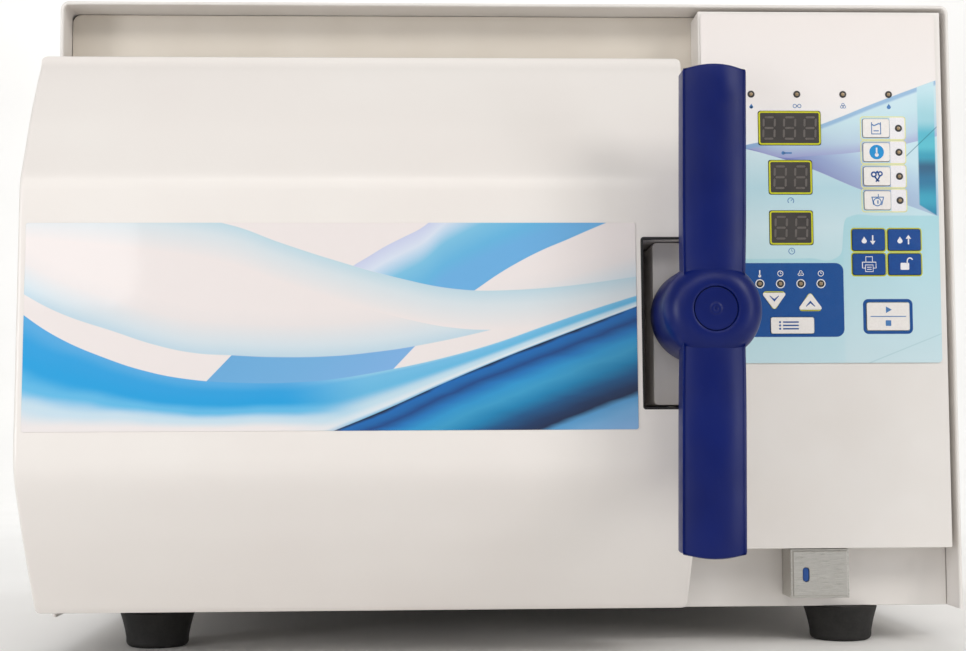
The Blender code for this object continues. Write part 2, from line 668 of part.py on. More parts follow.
# ---- case ---------------------------------------------------------------------------------
def make_hood():
    """One sheet bent over the top and down both sides, with the filler mouth in its top."""
    corners = [(-SIDE, CASE_LIFT, 0), (-SIDE, CASE_HEIGHT, HOOD_BEND),
               (SIDE, CASE_HEIGHT, HOOD_BEND), (SIDE, CASE_LIFT, 0),
               (INNER_SIDE, CASE_LIFT, 0), (INNER_SIDE, HOOD_UNDER, HOOD_BEND - HOOD_SHEET),
               (-INNER_SIDE, HOOD_UNDER, HOOD_BEND - HOOD_SHEET), (-INNER_SIDE, CASE_LIFT, 0)]
    hood = prism(rounded(corners), "Y", RIM, RIM + CASE_DEPTH)
    mouth_y = RIM + MOUTH_INSET + MOUTH_LENGTH / 2
    above = (HOOD_UNDER - HOOD_SHEET, CASE_HEIGHT + HOOD_SHEET)
    mouth = prism(rectangle(MOUTH_X, mouth_y, MOUTH_WIDTH, MOUTH_LENGTH, MOUTH_CORNER), "Z", *above)
    notch = prism(rectangle(MOUTH_X, RIM + MOUTH_INSET, FINGER_NOTCH, 2 * FINGER_NOTCH_DEPTH,
                            2 * FINGER_NOTCH_DEPTH * ROUND_END), "Z", *above)
    return node("hood", cut(hood, joined(mouth, notch)), WHITE_PAINT, 0.35)


def chamber_opening():
    """The round cutter that clears the chamber through the front panels."""
    return rod(CHAMBER_OUTER + RUNNING, "Y", (CHAMBER_X, CHAMBER_Z), FASCIA_Y - PANEL_SHEET,
               FASCIA_Y + 2 * PANEL_SHEET, steps=64)


def make_base_pan():
    """The floor of the case, with an upstand that shows under the control box."""
    reach = INNER_SIDE - GAP
    floor_y = (FASCIA_Y, REAR_Y + PANEL_SHEET)
    profile = [(floor_y[0], CASE_LIFT), (floor_y[1], CASE_LIFT),
               (floor_y[1], CASE_LIFT + PANEL_SHEET),
               (floor_y[0] + PANEL_SHEET, CASE_LIFT + PANEL_SHEET),
               (floor_y[0] + PANEL_SHEET, CASE_LIFT + BASE_STRIP),
               (floor_y[0], CASE_LIFT + BASE_STRIP)]
    pan = cut(prism(profile, "X", -reach, reach), chamber_opening())
    return node("base_pan", pan, WHITE_PAINT, 0.4)


def panel_outline(reach, low):
    """A panel across the case, with its upper corners rounded to clear the hood's bends."""
    high = HOOD_UNDER - GAP
    return rounded([(-reach, low, 0), (reach, low, 0), (reach, high, HOOD_BEND),
                    (-reach, high, HOOD_BEND)])


def make_fascia():
    """The recessed front panel, open round the chamber and behind the keeper."""
    reach = INNER_SIDE - GAP
    low = CASE_LIFT + BASE_STRIP + GAP
    fascia = prism(panel_outline(reach, low), "Y", FASCIA_Y, FASCIA_Y + PANEL_SHEET)
    slot = prism(rectangle(LATCH_X, LATCH_Z, SLOT_WIDTH + FASCIA_SLOT_ROOM,
                           SLOT_HEIGHT + FASCIA_SLOT_ROOM, SLOT_CORNER), "Y",
                 FASCIA_Y - PANEL_SHEET, FASCIA_Y + 2 * PANEL_SHEET)
    return node("fascia", cut(fascia, chamber_opening(), slot), WHITE_PAINT, 0.4)


def make_rear_panel():
    """The back of the case, with a fan grille, louvres and holes for what passes through."""
    reach = INNER_SIDE - GAP
    low = CASE_LIFT + PANEL_SHEET + GAP
    panel = prism(panel_outline(reach, low), "Y", REAR_Y, REAR_Y + PANEL_SHEET)
    around = (REAR_Y - PANEL_SHEET, REAR_Y + 2 * PANEL_SHEET)
    holes = []
    bars = int(FAN_BORE / GRILLE_PITCH)
    for i in range(-bars, bars + 1):
        across = i * GRILLE_PITCH
        height = 2 * math.sqrt(FAN_BORE ** 2 - across ** 2) - GRILLE_PITCH
        holes.append(rectangle(FAN_X + across, FAN_Z, GRILLE_SLOT, height,
                               GRILLE_SLOT * ROUND_END, 2))
    for i in range(LOUVRE_COUNT):
        holes.append(rectangle(LOUVRE_X, LOUVRE_Z + i * LOUVRE_PITCH, LOUVRE_WIDTH,
                               LOUVRE_HEIGHT, LOUVRE_HEIGHT * ROUND_END, 2))
    holes.append(rectangle(INLET_X, INLET_Z, INLET_BODY_WIDTH + 2 * GAP,
                           INLET_BODY_HEIGHT + 2 * GAP))
    holes.append(circle(SAFETY_X, SAFETY_Z, SAFETY_NECK + GAP, 24))
    holes.append(circle(EXHAUST_X, EXHAUST_Z, EXHAUST_NECK + GAP, 24))
    cutter = gathered([prism(hole, "Y", *around) for hole in holes])
    return node("rear_panel", cut(panel, cutter), WHITE_PAINT, 0.4)


def make_feet():
    """Four tapered rubber feet with rounded soles."""
    profile = [(0, 0), (FOOT_SOLE_RADIUS - FOOT_EDGE, 0), (FOOT_SOLE_RADIUS, FOOT_EDGE),
               (FOOT_TOP_RADIUS, CASE_LIFT - GAP), (0, CASE_LIFT - GAP)]
    rows = (("front", RIM + FOOT_FRONT_INSET), ("rear", RIM + CASE_DEPTH - FOOT_REAR_INSET))
    for row, y in rows:
        for side, x in (("left", -SIDE + FOOT_LEFT_INSET), ("right", SIDE - FOOT_RIGHT_INSET)):
            foot = turned(profile, "Z", (x, y), steps=24)
            node("foot_" + row + "_" + side, foot, BLACK_RUBBER, 0.8, smooth=True)


# ---- chamber ------------------------------------------------------------------------------
def make_chamber():
    """The pressure vessel: a tube with a thick ring at its mouth and a closed back."""
    back = FLANGE_Y + CHAMBER_LENGTH
    profile = [(CHAMBER_RADIUS, FLANGE_Y), (FLANGE_RADIUS, FLANGE_Y),
               (FLANGE_RADIUS, FASCIA_Y - GAP), (CHAMBER_OUTER, FASCIA_Y - GAP),
               (CHAMBER_OUTER, back + CHAMBER_WALL), (0, back + CHAMBER_WALL), (0, back),
               (CHAMBER_RADIUS, back)]
    chamber = turned(profile, "Y", (CHAMBER_X, CHAMBER_Z), steps=64)
    return node("chamber", chamber, STEEL, 0.3, 1.0, smooth=True)


def make_heater_band():
    """The band heater clamped round the chamber, split at the bottom."""
    inner = CHAMBER_OUTER + GAP
    start = RIM + HEATER_INSET
    band = tube(inner, inner + HEATER_WALL, "Y", (CHAMBER_X, CHAMBER_Z), start,
                start + HEATER_WIDTH, steps=48)
    slot = block((CHAMBER_X - HEATER_SPLIT, CHAMBER_X + HEATER_SPLIT),
                 (start - OVERLAP, start + HEATER_WIDTH + OVERLAP),
                 (CHAMBER_Z - inner - 2 * HEATER_WALL, CHAMBER_Z - inner + HEATER_WALL))
    return node("heater_band", cut(band, slot), STEEL, 0.45, 1.0, smooth=True)


def make_jacket():
    """Glass wool insulation round the heater, as one sleeve."""
    start = FASCIA_Y + PANEL_SHEET + JACKET_INSET
    end = FLANGE_Y + CHAMBER_LENGTH + CHAMBER_WALL
    inner = CHAMBER_OUTER + JACKET_SPACE
    jacket = tube(inner, inner + JACKET_WALL, "Y", (CHAMBER_X, CHAMBER_Z), start, end, steps=48)
    return node("insulation_jacket", jacket, GLASS_WOOL, 0.9, smooth=True)


def tray_space():
    """Where the rack and trays lie along the chamber."""
    start = FLANGE_Y + TRAY_INSET
    return start, start + TRAY_LENGTH


def make_tray(name, floor_z):
    """A shallow pan with a row of drain slots."""
    start, end = tray_space()
    middle = (start + end) / 2
    outline = rectangle(CHAMBER_X, middle, TRAY_WIDTH, TRAY_LENGTH, TRAY_CORNER)
    tray = shell(outline, "Z", floor_z, floor_z + TRAY_DEPTH, TRAY_SHEET)
    slots = []
    for i in range(-2, 3):
        y = middle + i * TRAY_LENGTH / 6
        outline = rectangle(CHAMBER_X, y, TRAY_WIDTH * TRAY_SLOT_SHARE, TRAY_SLOT,
                            TRAY_SLOT * ROUND_END, 1)
        slots.append(prism(outline, "Z", floor_z - TRAY_SHEET, floor_z + 2 * TRAY_SHEET))
    return node(name, cut(tray, gathered(slots)), STEEL, 0.3, 1.0)


def make_rack():
    """Two end hoops of flat bar, joined by the rails that the trays slide on."""
    start, end = tray_space()
    half = TRAY_WIDTH / 2 + RACK_ROOM
    reach = (start, end)
    low, high = CHAMBER_Z - TRAY_DROP, CHAMBER_Z + TRAY_RISE
    bottom = CHAMBER_Z - math.sqrt(CHAMBER_RADIUS ** 2 - half ** 2) + 2 * RACK_BAR
    top = high + TRAY_DEPTH + 2 * RACK_BAR
    pieces = []
    for y in (start + RACK_INSET, end - RACK_INSET - RACK_BAR):
        span = (y, y + RACK_BAR)
        for side in (-1, 1):
            edges = sorted((CHAMBER_X + side * half, CHAMBER_X + side * (half + RACK_BAR)))
            pieces.append(block(edges, span, (bottom, top)))
        pieces.append(block((CHAMBER_X - half - RACK_BAR, CHAMBER_X + half + RACK_BAR), span,
                            (bottom, bottom + RACK_BAR)))
    for side in (-1, 1):
        for shelf in (low, high):
            edges = sorted((CHAMBER_X + side * (half - RAIL_REACH),
                            CHAMBER_X + side * (half + RACK_BAR / 2)))
            pieces.append(block(edges, reach, (shelf - GAP - RAIL_THICKNESS, shelf - GAP)))
    return node("tray_rack", joined(*pieces), STEEL, 0.3, 1.0)


# ---- door ---------------------------------------------------------------------------------
def door_outline():
    """The door seen from its side: a flat, slightly leaning middle, with an upper and a
    lower face that slope back and bow out a little.  Points are (y, z)."""
    upper = Vector((RIM - DOOR_UPPER_REACH, DOOR_UPPER_BEND))
    lower = Vector((RIM - DOOR_LOWER_REACH, DOOR_LOWER_BEND))
    top = Vector((RIM - DOOR_EDGE_REACH, DOOR_TOP))
    bottom = Vector((RIM - DOOR_EDGE_REACH, DOOR_BOTTOM))

    def bowed(first, second):
        along = (second - first).normalized()
        out = Vector((along.y, -along.x))
        if out.x > 0:
            out = -out
        return (first + second) / 2 + out * DOOR_SLOPE_BOW

    above = bowed(top, upper)
    below = bowed(lower, bottom)
    soft = 4 * DOOR_BEND_RADIUS
    corners = [(DOOR_BACK, DOOR_TOP, 0), (top.x, top.y, DOOR_EDGE_RADIUS),
               (above.x, above.y, soft), (upper.x, upper.y, DOOR_BEND_RADIUS),
               (lower.x, lower.y, DOOR_BEND_RADIUS), (below.x, below.y, soft),
               (bottom.x, bottom.y, DOOR_EDGE_RADIUS), (DOOR_BACK, DOOR_BOTTOM, 0)]
    return rounded(corners, steps=5)


def middle_reach(z):
    """Where the door's flat middle is, in y, at a height."""
    share = (z - DOOR_LOWER_BEND) / (DOOR_UPPER_BEND - DOOR_LOWER_BEND)
    return RIM - (DOOR_LOWER_REACH + share * (DOOR_UPPER_REACH - DOOR_LOWER_REACH))


def make_door_cover():
    """The moulded outer cover: a shell open at the back, notched for the latch and cut out
    where the hinge lugs pass its left wall as it swings."""
    outline = door_outline()
    cover = prism(outline, "X", DOOR_LEFT, DOOR_RIGHT)
    hollow = inset(outline, DOOR_SHELL)
    hollow = [(y if y < DOOR_BACK - 1.5 * DOOR_SHELL else DOOR_BACK + DOOR_SHELL, z)
              for y, z in hollow]
    cut(cover, prism(hollow, "X", DOOR_LEFT + DOOR_SHELL, DOOR_RIGHT - DOOR_SHELL))
    notch = block((NOTCH_LEFT, DOOR_RIGHT + DOOR_SHELL), (HUB_FACE, DOOR_BACK + DOOR_SHELL),
                  (NOTCH_LOW, NOTCH_HIGH))
    lug_room = HINGE_REACH + LUG_WIDTH
    slots = [block((DOOR_LEFT - DOOR_SHELL, DOOR_LEFT + 2 * DOOR_SHELL),
                   (RIM - lug_room, DOOR_BACK + DOOR_SHELL),
                   (low - LUG_SLOT_ROOM, low + LUG_THICKNESS + LUG_SLOT_ROOM))
             for low in lug_heights()]
    return node("door_cover", cut(cover, gathered([notch] + slots)), WHITE_PAINT, 0.25)


def make_door_film():
    """The printed film across the door's flat middle."""
    back_low = middle_reach(DOOR_FILM_LOW) - GAP
    back_high = middle_reach(DOOR_FILM_HIGH) - GAP
    profile = [(back_low, DOOR_FILM_LOW), (back_high, DOOR_FILM_HIGH),
               (back_high - FILM_THICKNESS, DOOR_FILM_HIGH),
               (back_low - FILM_THICKNESS, DOOR_FILM_LOW)]
    film = prism(profile, "X", DOOR_FILM_LEFT, DOOR_FILM_RIGHT)
    return node("door_film", film, (0.45, 0.68, 0.80), 0.2)


def make_door_frame():
    """The steel plate that closes the cover's back, with a tab behind the latch block."""
    left = HINGE_X + BARREL_RADIUS + FRAME_HINGE_ROOM
    right = DOOR_RIGHT - DOOR_SHELL - GAP
    low, high = DOOR_BOTTOM + DOOR_SHELL + GAP, DOOR_TOP - DOOR_SHELL - GAP
    tab_right = BLOCK_RIGHT - TAB_INSET
    tab_low, tab_high = BLOCK_LOW + TAB_INSET, BLOCK_HIGH - TAB_INSET
    outline = [(left, low), (right, low), (right, tab_low), (tab_right, tab_low),
               (tab_right, tab_high), (right, tab_high), (right, high), (left, high)]
    frame = prism(outline, "Y", FRAME_FRONT, FRAME_BACK)
    bore = rod(SPINDLE_RADIUS + RUNNING, "Y", (LATCH_X, LATCH_Z), FRAME_FRONT - FRAME_SHEET,
               FRAME_BACK + FRAME_SHEET)
    return node("door_frame", cut(frame, bore), STEEL, 0.4, 1.0)


def make_pressure_plate():
    """The round inner door, dished on its outer side, with a groove for the gasket."""
    back = PLATE_FRONT + PLATE_THICKNESS
    inner, outer = SEAL_RADIUS - SEAL_WIDTH / 2 - GAP, SEAL_RADIUS + SEAL_WIDTH / 2 + GAP
    profile = [(0, PLATE_FRONT), (PLATE_RADIUS, PLATE_FRONT), (PLATE_RADIUS, back),
               (outer, back), (outer, back - SEAL_GROOVE), (inner, back - SEAL_GROOVE),
               (inner, back), (inner - PLATE_RIM, back),
               (inner - PLATE_RIM - DISH_SLOPE, back - PLATE_DISH),
               (0, back - PLATE_DISH)]
    plate = turned(profile, "Y", (CHAMBER_X, CHAMBER_Z), SEAL_STEPS)
    return node("pressure_plate", plate, STEEL, 0.25, 1.0, smooth=True)


def make_gasket():
    """The silicone ring between the pressure plate and the chamber's flange."""
    inner, outer = SEAL_RADIUS - SEAL_WIDTH / 2, SEAL_RADIUS + SEAL_WIDTH / 2
    seat = PLATE_FRONT + PLATE_THICKNESS - SEAL_GROOVE + GAP
    face = FLANGE_Y - GAP
    lip = SEAL_WIDTH / 4
    profile = [(inner, seat), (outer, seat), (outer, face - lip), (outer - lip, face),
               (inner + lip, face), (inner, face - lip)]
    gasket = turned(profile, "Y", (CHAMBER_X, CHAMBER_Z), SEAL_STEPS)
    return node("door_gasket", gasket, SILICONE, 0.6, smooth=True)


# ---- hinge --------------------------------------------------------------------------------
def lug_heights():
    """The lower edges of the lower and the upper lug, just beyond the strap's barrels."""
    return STRAP_LOW - RUNNING - LUG_THICKNESS, STRAP_HIGH + RUNNING


def make_hinge_bracket(name, low):
    """A steel lug on the fascia, with a foot to bolt it down and an eye for the pin."""
    half = LUG_WIDTH / 2
    foot = LUG_BASE
    back = FASCIA_Y - GAP
    corners = [(HINGE_X - half, HINGE_Y - half, half * LUG_ROUNDING),
               (HINGE_X + half, HINGE_Y - half, half * LUG_ROUNDING),
               (HINGE_X + half, back - foot, 0), (HINGE_X - half + LUG_FOOT, back - foot, 0),
               (HINGE_X - half + LUG_FOOT, back, 0), (HINGE_X - half, back, 0)]
    lug = prism(rounded(corners, steps=6), "Z", low, low + LUG_THICKNESS)
    eye = rod(PIN_RADIUS + GAP, "Z", (HINGE_X, HINGE_Y), low - foot, low + LUG_THICKNESS + foot)
    return node(name, cut(lug, eye), STEEL, 0.4, 1.0)


def make_hinge_pin():
    low, high = lug_heights()
    pin = rod(PIN_RADIUS, "Z", (HINGE_X, HINGE_Y), low - PIN_TAIL,
              high + LUG_THICKNESS + PIN_TAIL)
    return node("hinge_pin", pin, STEEL, 0.2, 1.0, smooth=True)


def make_hinge_strap():
    """The strap bolted inside the door, with a barrel round the pin at each end."""
    clear = HINGE_X + BARREL_RADIUS + RUNNING
    right = clear + STRAP_WIDTH
    outline = [(HINGE_X, STRAP_LOW), (right, STRAP_LOW), (right, STRAP_HIGH),
               (HINGE_X, STRAP_HIGH), (HINGE_X, STRAP_HIGH - BARREL_LENGTH),
               (clear, STRAP_HIGH - BARREL_LENGTH), (clear, STRAP_LOW + BARREL_LENGTH),
               (HINGE_X, STRAP_LOW + BARREL_LENGTH)]
    strap = prism(outline, "Y", HINGE_Y - STRAP_LEAD, FRAME_FRONT - GAP)
    for low in (STRAP_LOW, STRAP_HIGH - BARREL_LENGTH):
        joined(strap, rod(BARREL_RADIUS, "Z", (HINGE_X, HINGE_Y), low, low + BARREL_LENGTH))
    bore = rod(PIN_RADIUS + GAP, "Z", (HINGE_X, HINGE_Y), STRAP_LOW - PIN_RADIUS,
               STRAP_HIGH + PIN_RADIUS)
    return node("hinge_strap", cut(strap, bore), STEEL, 0.4, 1.0)


# ---- latch --------------------------------------------------------------------------------
def make_latch_block():
    """The white block in the door's notch that the spindle turns in."""
    x, z = (BLOCK_LEFT + BLOCK_RIGHT) / 2, (BLOCK_LOW + BLOCK_HIGH) / 2
    outline = rectangle(x, z, BLOCK_RIGHT - BLOCK_LEFT, BLOCK_HIGH - BLOCK_LOW, BLOCK_CORNER)
    face, back = RIM - BLOCK_REACH, FRAME_FRONT - GAP
    body = prism(outline, "Y", face, back)
    bore = rod(SPINDLE_RADIUS + RUNNING, "Y", (LATCH_X, LATCH_Z), face - RUNNING, back + RUNNING)
    return node("latch_block", cut(body, bore), WHITE_PAINT, 0.4)


def make_spindle():
    """The steel spindle in the hub, with a hammer head that turns behind the keeper."""
    front = RIM - BLOCK_REACH - GAP - SPINDLE_SOCKET
    neck_start = FRAME_BACK + SPINDLE_NECK_SPACE
    shaft = rod(SPINDLE_RADIUS, "Y", (LATCH_X, LATCH_Z), front, neck_start)
    half_width, half_length = SPINDLE_HEAD_WIDTH / 2, SPINDLE_HEAD_LENGTH / 2
    head = block((LATCH_X - half_width, LATCH_X + half_width),
                 (HEAD_FRONT, HEAD_FRONT + SPINDLE_HEAD_THICKNESS),
                 (LATCH_Z - half_length, LATCH_Z + half_length))
    neck = rod(SPINDLE_NECK_RADIUS, "Y", (LATCH_X, LATCH_Z), neck_start - OVERLAP,
               HEAD_FRONT + OVERLAP)
    return node("latch_spindle", joined(shaft, neck, head), STEEL, 0.3, 1.0)


def make_keeper():
    """The slotted stainless plate on the fascia that holds the spindle's head."""
    outline = rectangle(LATCH_X, LATCH_Z, SLOT_WIDTH + 2 * KEEPER_BORDER,
                        SLOT_HEIGHT + 6 * KEEPER_BORDER, SLOT_CORNER)
    back = FASCIA_Y - GAP
    plate = prism(outline, "Y", back - KEEPER_SHEET, back)
    slot = prism(rectangle(LATCH_X, LATCH_Z, SLOT_WIDTH, SLOT_HEIGHT, SLOT_CORNER), "Y",
                 back - 2 * KEEPER_SHEET, back + KEEPER_SHEET)
    flange = rod(FLANGE_RADIUS + FLANGE_ROOM, "Y", (CHAMBER_X, CHAMBER_Z), back - 2 * KEEPER_SHEET,
                 back + KEEPER_SHEET, SEAL_STEPS)
    return node("latch_keeper", cut(plate, slot, flange), STEEL, 0.3, 1.0)


def make_handle():
    """The T handle: a long bar with a bowed front and curved ends across a domed hub."""
    half, height = HANDLE_WIDTH / 2, HANDLE_HEIGHT / 2
    ends = bow(half, HANDLE_CROWN, CROWN_STEPS)
    crowned = [(LATCH_X - x, LATCH_Z + height + rise) for x, rise in ends]
    crowned += [(LATCH_X + x, LATCH_Z - height - rise) for x, rise in ends]
    section = [(LATCH_X + x, BAR_FACE - rise) for x, rise in bow(half, HANDLE_BOW, BOW_STEPS)]
    corners = [(x, y, 0) for x, y in section]
    corners += [(LATCH_X + half, BAR_BACK, HANDLE_FILLET),
                (LATCH_X - half, BAR_BACK, HANDLE_FILLET)]
    bar = prism(rounded(corners), "Z", LATCH_Z - height - half, LATCH_Z + height + half)
    bar = combine(bar, [prism(crowned, "Y", BAR_FACE - half, BAR_BACK + half)], "INTERSECT")
    pocket = CAP_RADIUS + GAP
    back = HUB_FACE + HUB_LENGTH
    shoulder = pocket + HUB_LAND
    dome = [(shoulder + (HUB_RADIUS - shoulder) * math.sin(turn),
             HUB_FACE + HUB_DOME * (1 - math.cos(turn)))
            for turn in (math.pi / 2 * k / DOME_STEPS for k in range(DOME_STEPS + 1))]
    profile = [(0, back), (0, HUB_FACE + CAP_THICKNESS), (pocket, HUB_FACE + CAP_THICKNESS),
               (pocket, HUB_FACE)] + dome + [(HUB_RADIUS, back)]
    hub = turned(profile, "Y", (LATCH_X, LATCH_Z), steps=HUB_STEPS)
    recess = rod(pocket, "Y", (LATCH_X, LATCH_Z), HUB_FACE - HUB_DOME, HUB_FACE + CAP_THICKNESS,
                 steps=HUB_STEPS)
    bore = rod(SPINDLE_RADIUS + GAP, "Y", (LATCH_X, LATCH_Z), back - SPINDLE_SOCKET - GAP,
               back + HUB_DOME)
    handle = cut(joined(bar, hub), recess, bore)
    return node("handle", handle, NAVY_PLASTIC, 0.35, smooth=True)


def bow(half, rise, steps):
    """Points of a shallow arc, (across, height), from -half to half: its ends are at height
    -rise and its middle is at 0."""
    radius = (half ** 2 + rise ** 2) / (2 * rise)
    spread = math.asin(half / radius)
    turns = [spread * k / steps for k in range(-steps, steps + 1)]
    return [(radius * math.sin(turn), radius * (math.cos(turn) - 1)) for turn in turns]


def make_handle_cap():
    """The disc set into the hub's face."""
    cap = rod(CAP_RADIUS, "Y", (LATCH_X, LATCH_Z), HUB_FACE + CAP_SINK,
              HUB_FACE + CAP_THICKNESS - GAP, steps=32)
    return node("handle_cap", cap, NAVY_PLASTIC, 0.35)


# ---- control box --------------------------------------------------------------------------
def make_control_box():
    """A folded sheet box that stands out from the fascia to just past the rim."""
    x, z = (BOX_LEFT + BOX_RIGHT) / 2, (BOX_LOW + BOX_HIGH) / 2
    outline = rectangle(x, z, BOX_RIGHT - BOX_LEFT, BOX_HIGH - BOX_LOW)
    body = shell(outline, "Y", BOX_FACE, FASCIA_Y - GAP, BOX_SHEET)
    opening = block((OVERLAY_LEFT + BOARD_MARGIN, OVERLAY_RIGHT - BOARD_MARGIN),
                    (BOX_FACE - BOX_SHEET, BOX_FACE + 2 * BOX_SHEET), (BOARD_LOW, BOARD_TOP))
    return node("control_box", cut(body, opening), WHITE_PAINT, 0.35)


def on_film(across, down):
    """A place on the keypad film, as (x, z)."""
    return OVERLAY_LEFT + across, OVERLAY_HIGH - down


def program_place(i):
    return on_film(PROGRAM_KEY_ACROSS, PROGRAM_KEY_DOWN + i * PROGRAM_KEY_PITCH)


def key_outlines():
    """Each key of the keypad, by name, as an outline in (x, z)."""
    outlines = {}
    for i in range(PROGRAM_COUNT):
        outlines["key_program_%d" % (i + 1)] = rectangle(
            *program_place(i), PROGRAM_KEY_WIDTH, PROGRAM_KEY_HEIGHT, KEY_CORNER, 2)
    names = (("key_drain", "key_fill"), ("key_print", "key_unlock"))
    for row, pair in enumerate(names):
        for column, name in enumerate(pair):
            place = on_film(
                FUNCTION_KEY_ACROSS + column * (FUNCTION_KEY_WIDTH + FUNCTION_KEY_SPACE),
                FUNCTION_KEY_DOWN + row * (FUNCTION_KEY_HEIGHT + FUNCTION_KEY_SPACE))
            outlines[name] = rectangle(*place, FUNCTION_KEY_WIDTH, FUNCTION_KEY_HEIGHT,
                                       KEY_CORNER, 2)
    for name, across, way in zip(("key_down", "key_up"), ARROW_KEY_ACROSS, (-1, 1)):
        x, z = on_film(across, ARROW_KEY_DOWN)
        half, rise = ARROW_KEY_WIDTH / 2, way * ARROW_KEY_HEIGHT / 2
        outlines[name] = rounded([(x - half, z - rise, KEY_CORNER),
                                  (x + half, z - rise, KEY_CORNER),
                                  (x, z + rise, KEY_CORNER)], 2)
    outlines["key_menu"] = rectangle(*on_film(MENU_KEY_ACROSS, MENU_KEY_DOWN), MENU_KEY_WIDTH,
                                     MENU_KEY_HEIGHT, KEY_CORNER, 2)
    outlines["key_start"] = rectangle(*on_film(START_KEY_ACROSS, START_KEY_DOWN),
                                      START_KEY_WIDTH, START_KEY_HEIGHT, KEY_CORNER, 2)
    return outlines


def lamp_places():
    """The middle of each lamp: the status row, the setting row and one beside each program."""
    places = [on_film(across, STATUS_LED_DOWN) for across in STATUS_LED_ACROSS]
    places += [on_film(across, SETTING_LED_DOWN) for across in SETTING_LED_ACROSS]
    beside = PROGRAM_KEY_WIDTH / 2 + PROGRAM_LED_SPACE
    for i in range(PROGRAM_COUNT):
        x, z = program_place(i)
        places.append((x + beside, z))
    return places


def window_outlines():
    return [rectangle(*on_film(WINDOW_ACROSS, down), width, WINDOW_HEIGHT, KEY_CORNER, 2)
            for down, width in zip(WINDOW_DOWN, WINDOW_WIDTH)]


def make_overlay():
    """The printed film over the keypad, open at each key, lamp and window."""
    x, z = (OVERLAY_LEFT + OVERLAY_RIGHT) / 2, (OVERLAY_LOW + OVERLAY_HIGH) / 2
    outline = rectangle(x, z, OVERLAY_RIGHT - OVERLAY_LEFT, OVERLAY_HIGH - OVERLAY_LOW,
                        OVERLAY_CORNER)
    overlay = prism(outline, "Y", OVERLAY_FACE, OVERLAY_BACK)
    holes = [inset(key, -GAP) for key in key_outlines().values()]
    holes += [circle(u, v, LED_RADIUS + GAP, 8) for u, v in lamp_places()]
    holes += [inset(window, -GAP) for window in window_outlines()]
    around = (OVERLAY_FACE - OVERLAY_FILM, OVERLAY_BACK + OVERLAY_FILM)
    cutter = gathered([prism(hole, "Y", *around) for hole in holes])
    return node("control_overlay", cut(overlay, cutter), (0.60, 0.78, 0.86), 0.3)


def make_board():
    """The keypad's circuit board, behind the opening in the box."""
    left, right = OVERLAY_LEFT + BOARD_MARGIN, OVERLAY_RIGHT - BOARD_MARGIN
    board = block((left - BOARD_SPREAD, right + BOARD_SPREAD),
                  (BOARD_FACE, BOARD_FACE + BOARD_SHEET),
                  (BOARD_LOW - BOARD_SPREAD, BOARD_TOP + BOARD_SPREAD))
    return node("control_board", board, BOARD_GREEN, 0.5)


def make_display_module():
    """One clear moulding: a sheet that carries the three windows and the twelve lamps."""
    back, sheet_front = BOARD_FACE - GAP, BOARD_FACE - GAP - LIGHT_GUIDE
    face = OVERLAY_FACE - WINDOW_PROUD
    lamps = lamp_places()
    margin = LAMP_MARGIN
    top, shelf = lamps[0][1] + margin, lamps[0][1] - LAMP_SHELF
    last_x, last_z = lamps[-1]
    window_left, window_right = (lamps[4][0] - margin, max(u for u, v in window_outlines()[0]))
    low = lamps[4][1] - LED_RADIUS - LAMP_EDGE
    outline = [(lamps[0][0] - margin, top), (last_x + margin, top),
               (last_x + margin, last_z - margin), (last_x - margin, last_z - margin),
               (last_x - margin, shelf), (window_right, shelf), (window_right, low),
               (window_left, low), (window_left, shelf), (lamps[0][0] - margin, shelf)]
    module = prism(outline, "Y", sheet_front, back)
    middle = (sheet_front + back) / 2
    for window in window_outlines():
        joined(module, prism(window, "Y", face, middle))
    for u, v in lamps:
        joined(module, rod(LED_RADIUS, "Y", (u, v), face, middle, steps=8))
    return node("display_module", module, DARK_GLASS, 0.2)


def make_keys():
    """Twelve short-travel keys, each in its own opening in the film."""
    white = ("key_program_1", "key_program_2", "key_program_3", "key_program_4", "key_up",
             "key_down", "key_menu", "key_start")
    face = OVERLAY_FACE - KEY_PROUD
    back = BOARD_FACE - KEY_BACK_ROOM - KEY_TRAVEL
    for name, outline in key_outlines().items():
        colour = WHITE_PAINT if name in white else BLUE_PRINT
        key = node(name, prism(outline, "Y", face, back), colour, 0.3)
        middle = sum((Vector(point) for point in outline), Vector((0, 0))) / len(outline)
        hang(key, pivot(name + "_axis", (middle.x, face, middle.y)))


# ---- service cover ------------------------------------------------------------------------
def make_service_cover():
    """A small folded stainless cover under the control box, with an upright slot."""
    x, z = COVER_LEFT + COVER_WIDTH / 2, COVER_LOW + COVER_HEIGHT / 2
    face, back = RIM - COVER_REACH, FASCIA_Y - GAP
    outline = rectangle(x, z, COVER_WIDTH, COVER_HEIGHT)
    small = inset(outline, COVER_EDGE)
    body = prism(outline, "Y", face, back)
    for vertex in body.data.vertices:
        if vertex.co.y < face + COVER_EDGE:
            vertex.co.x += math.copysign(COVER_EDGE, x - vertex.co.x)
            vertex.co.z += math.copysign(COVER_EDGE, z - vertex.co.z)
    joined(body, prism(outline, "Y", face + COVER_EDGE, back))
    hollow = prism(inset(small, COVER_SHEET), "Y", face + COVER_SHEET, back + COVER_SHEET)
    slot = prism(rectangle(COVER_SLOT_X, COVER_SLOT_Z, COVER_SLOT_WIDTH, COVER_SLOT_HEIGHT,
                           COVER_SLOT_WIDTH * BUTTON_ROUNDING, 4), "Y", face - COVER_SHEET,
                 face + 3 * COVER_SHEET)
    return node("service_cover", cut(body, hollow, slot), STEEL, 0.3, 1.0)


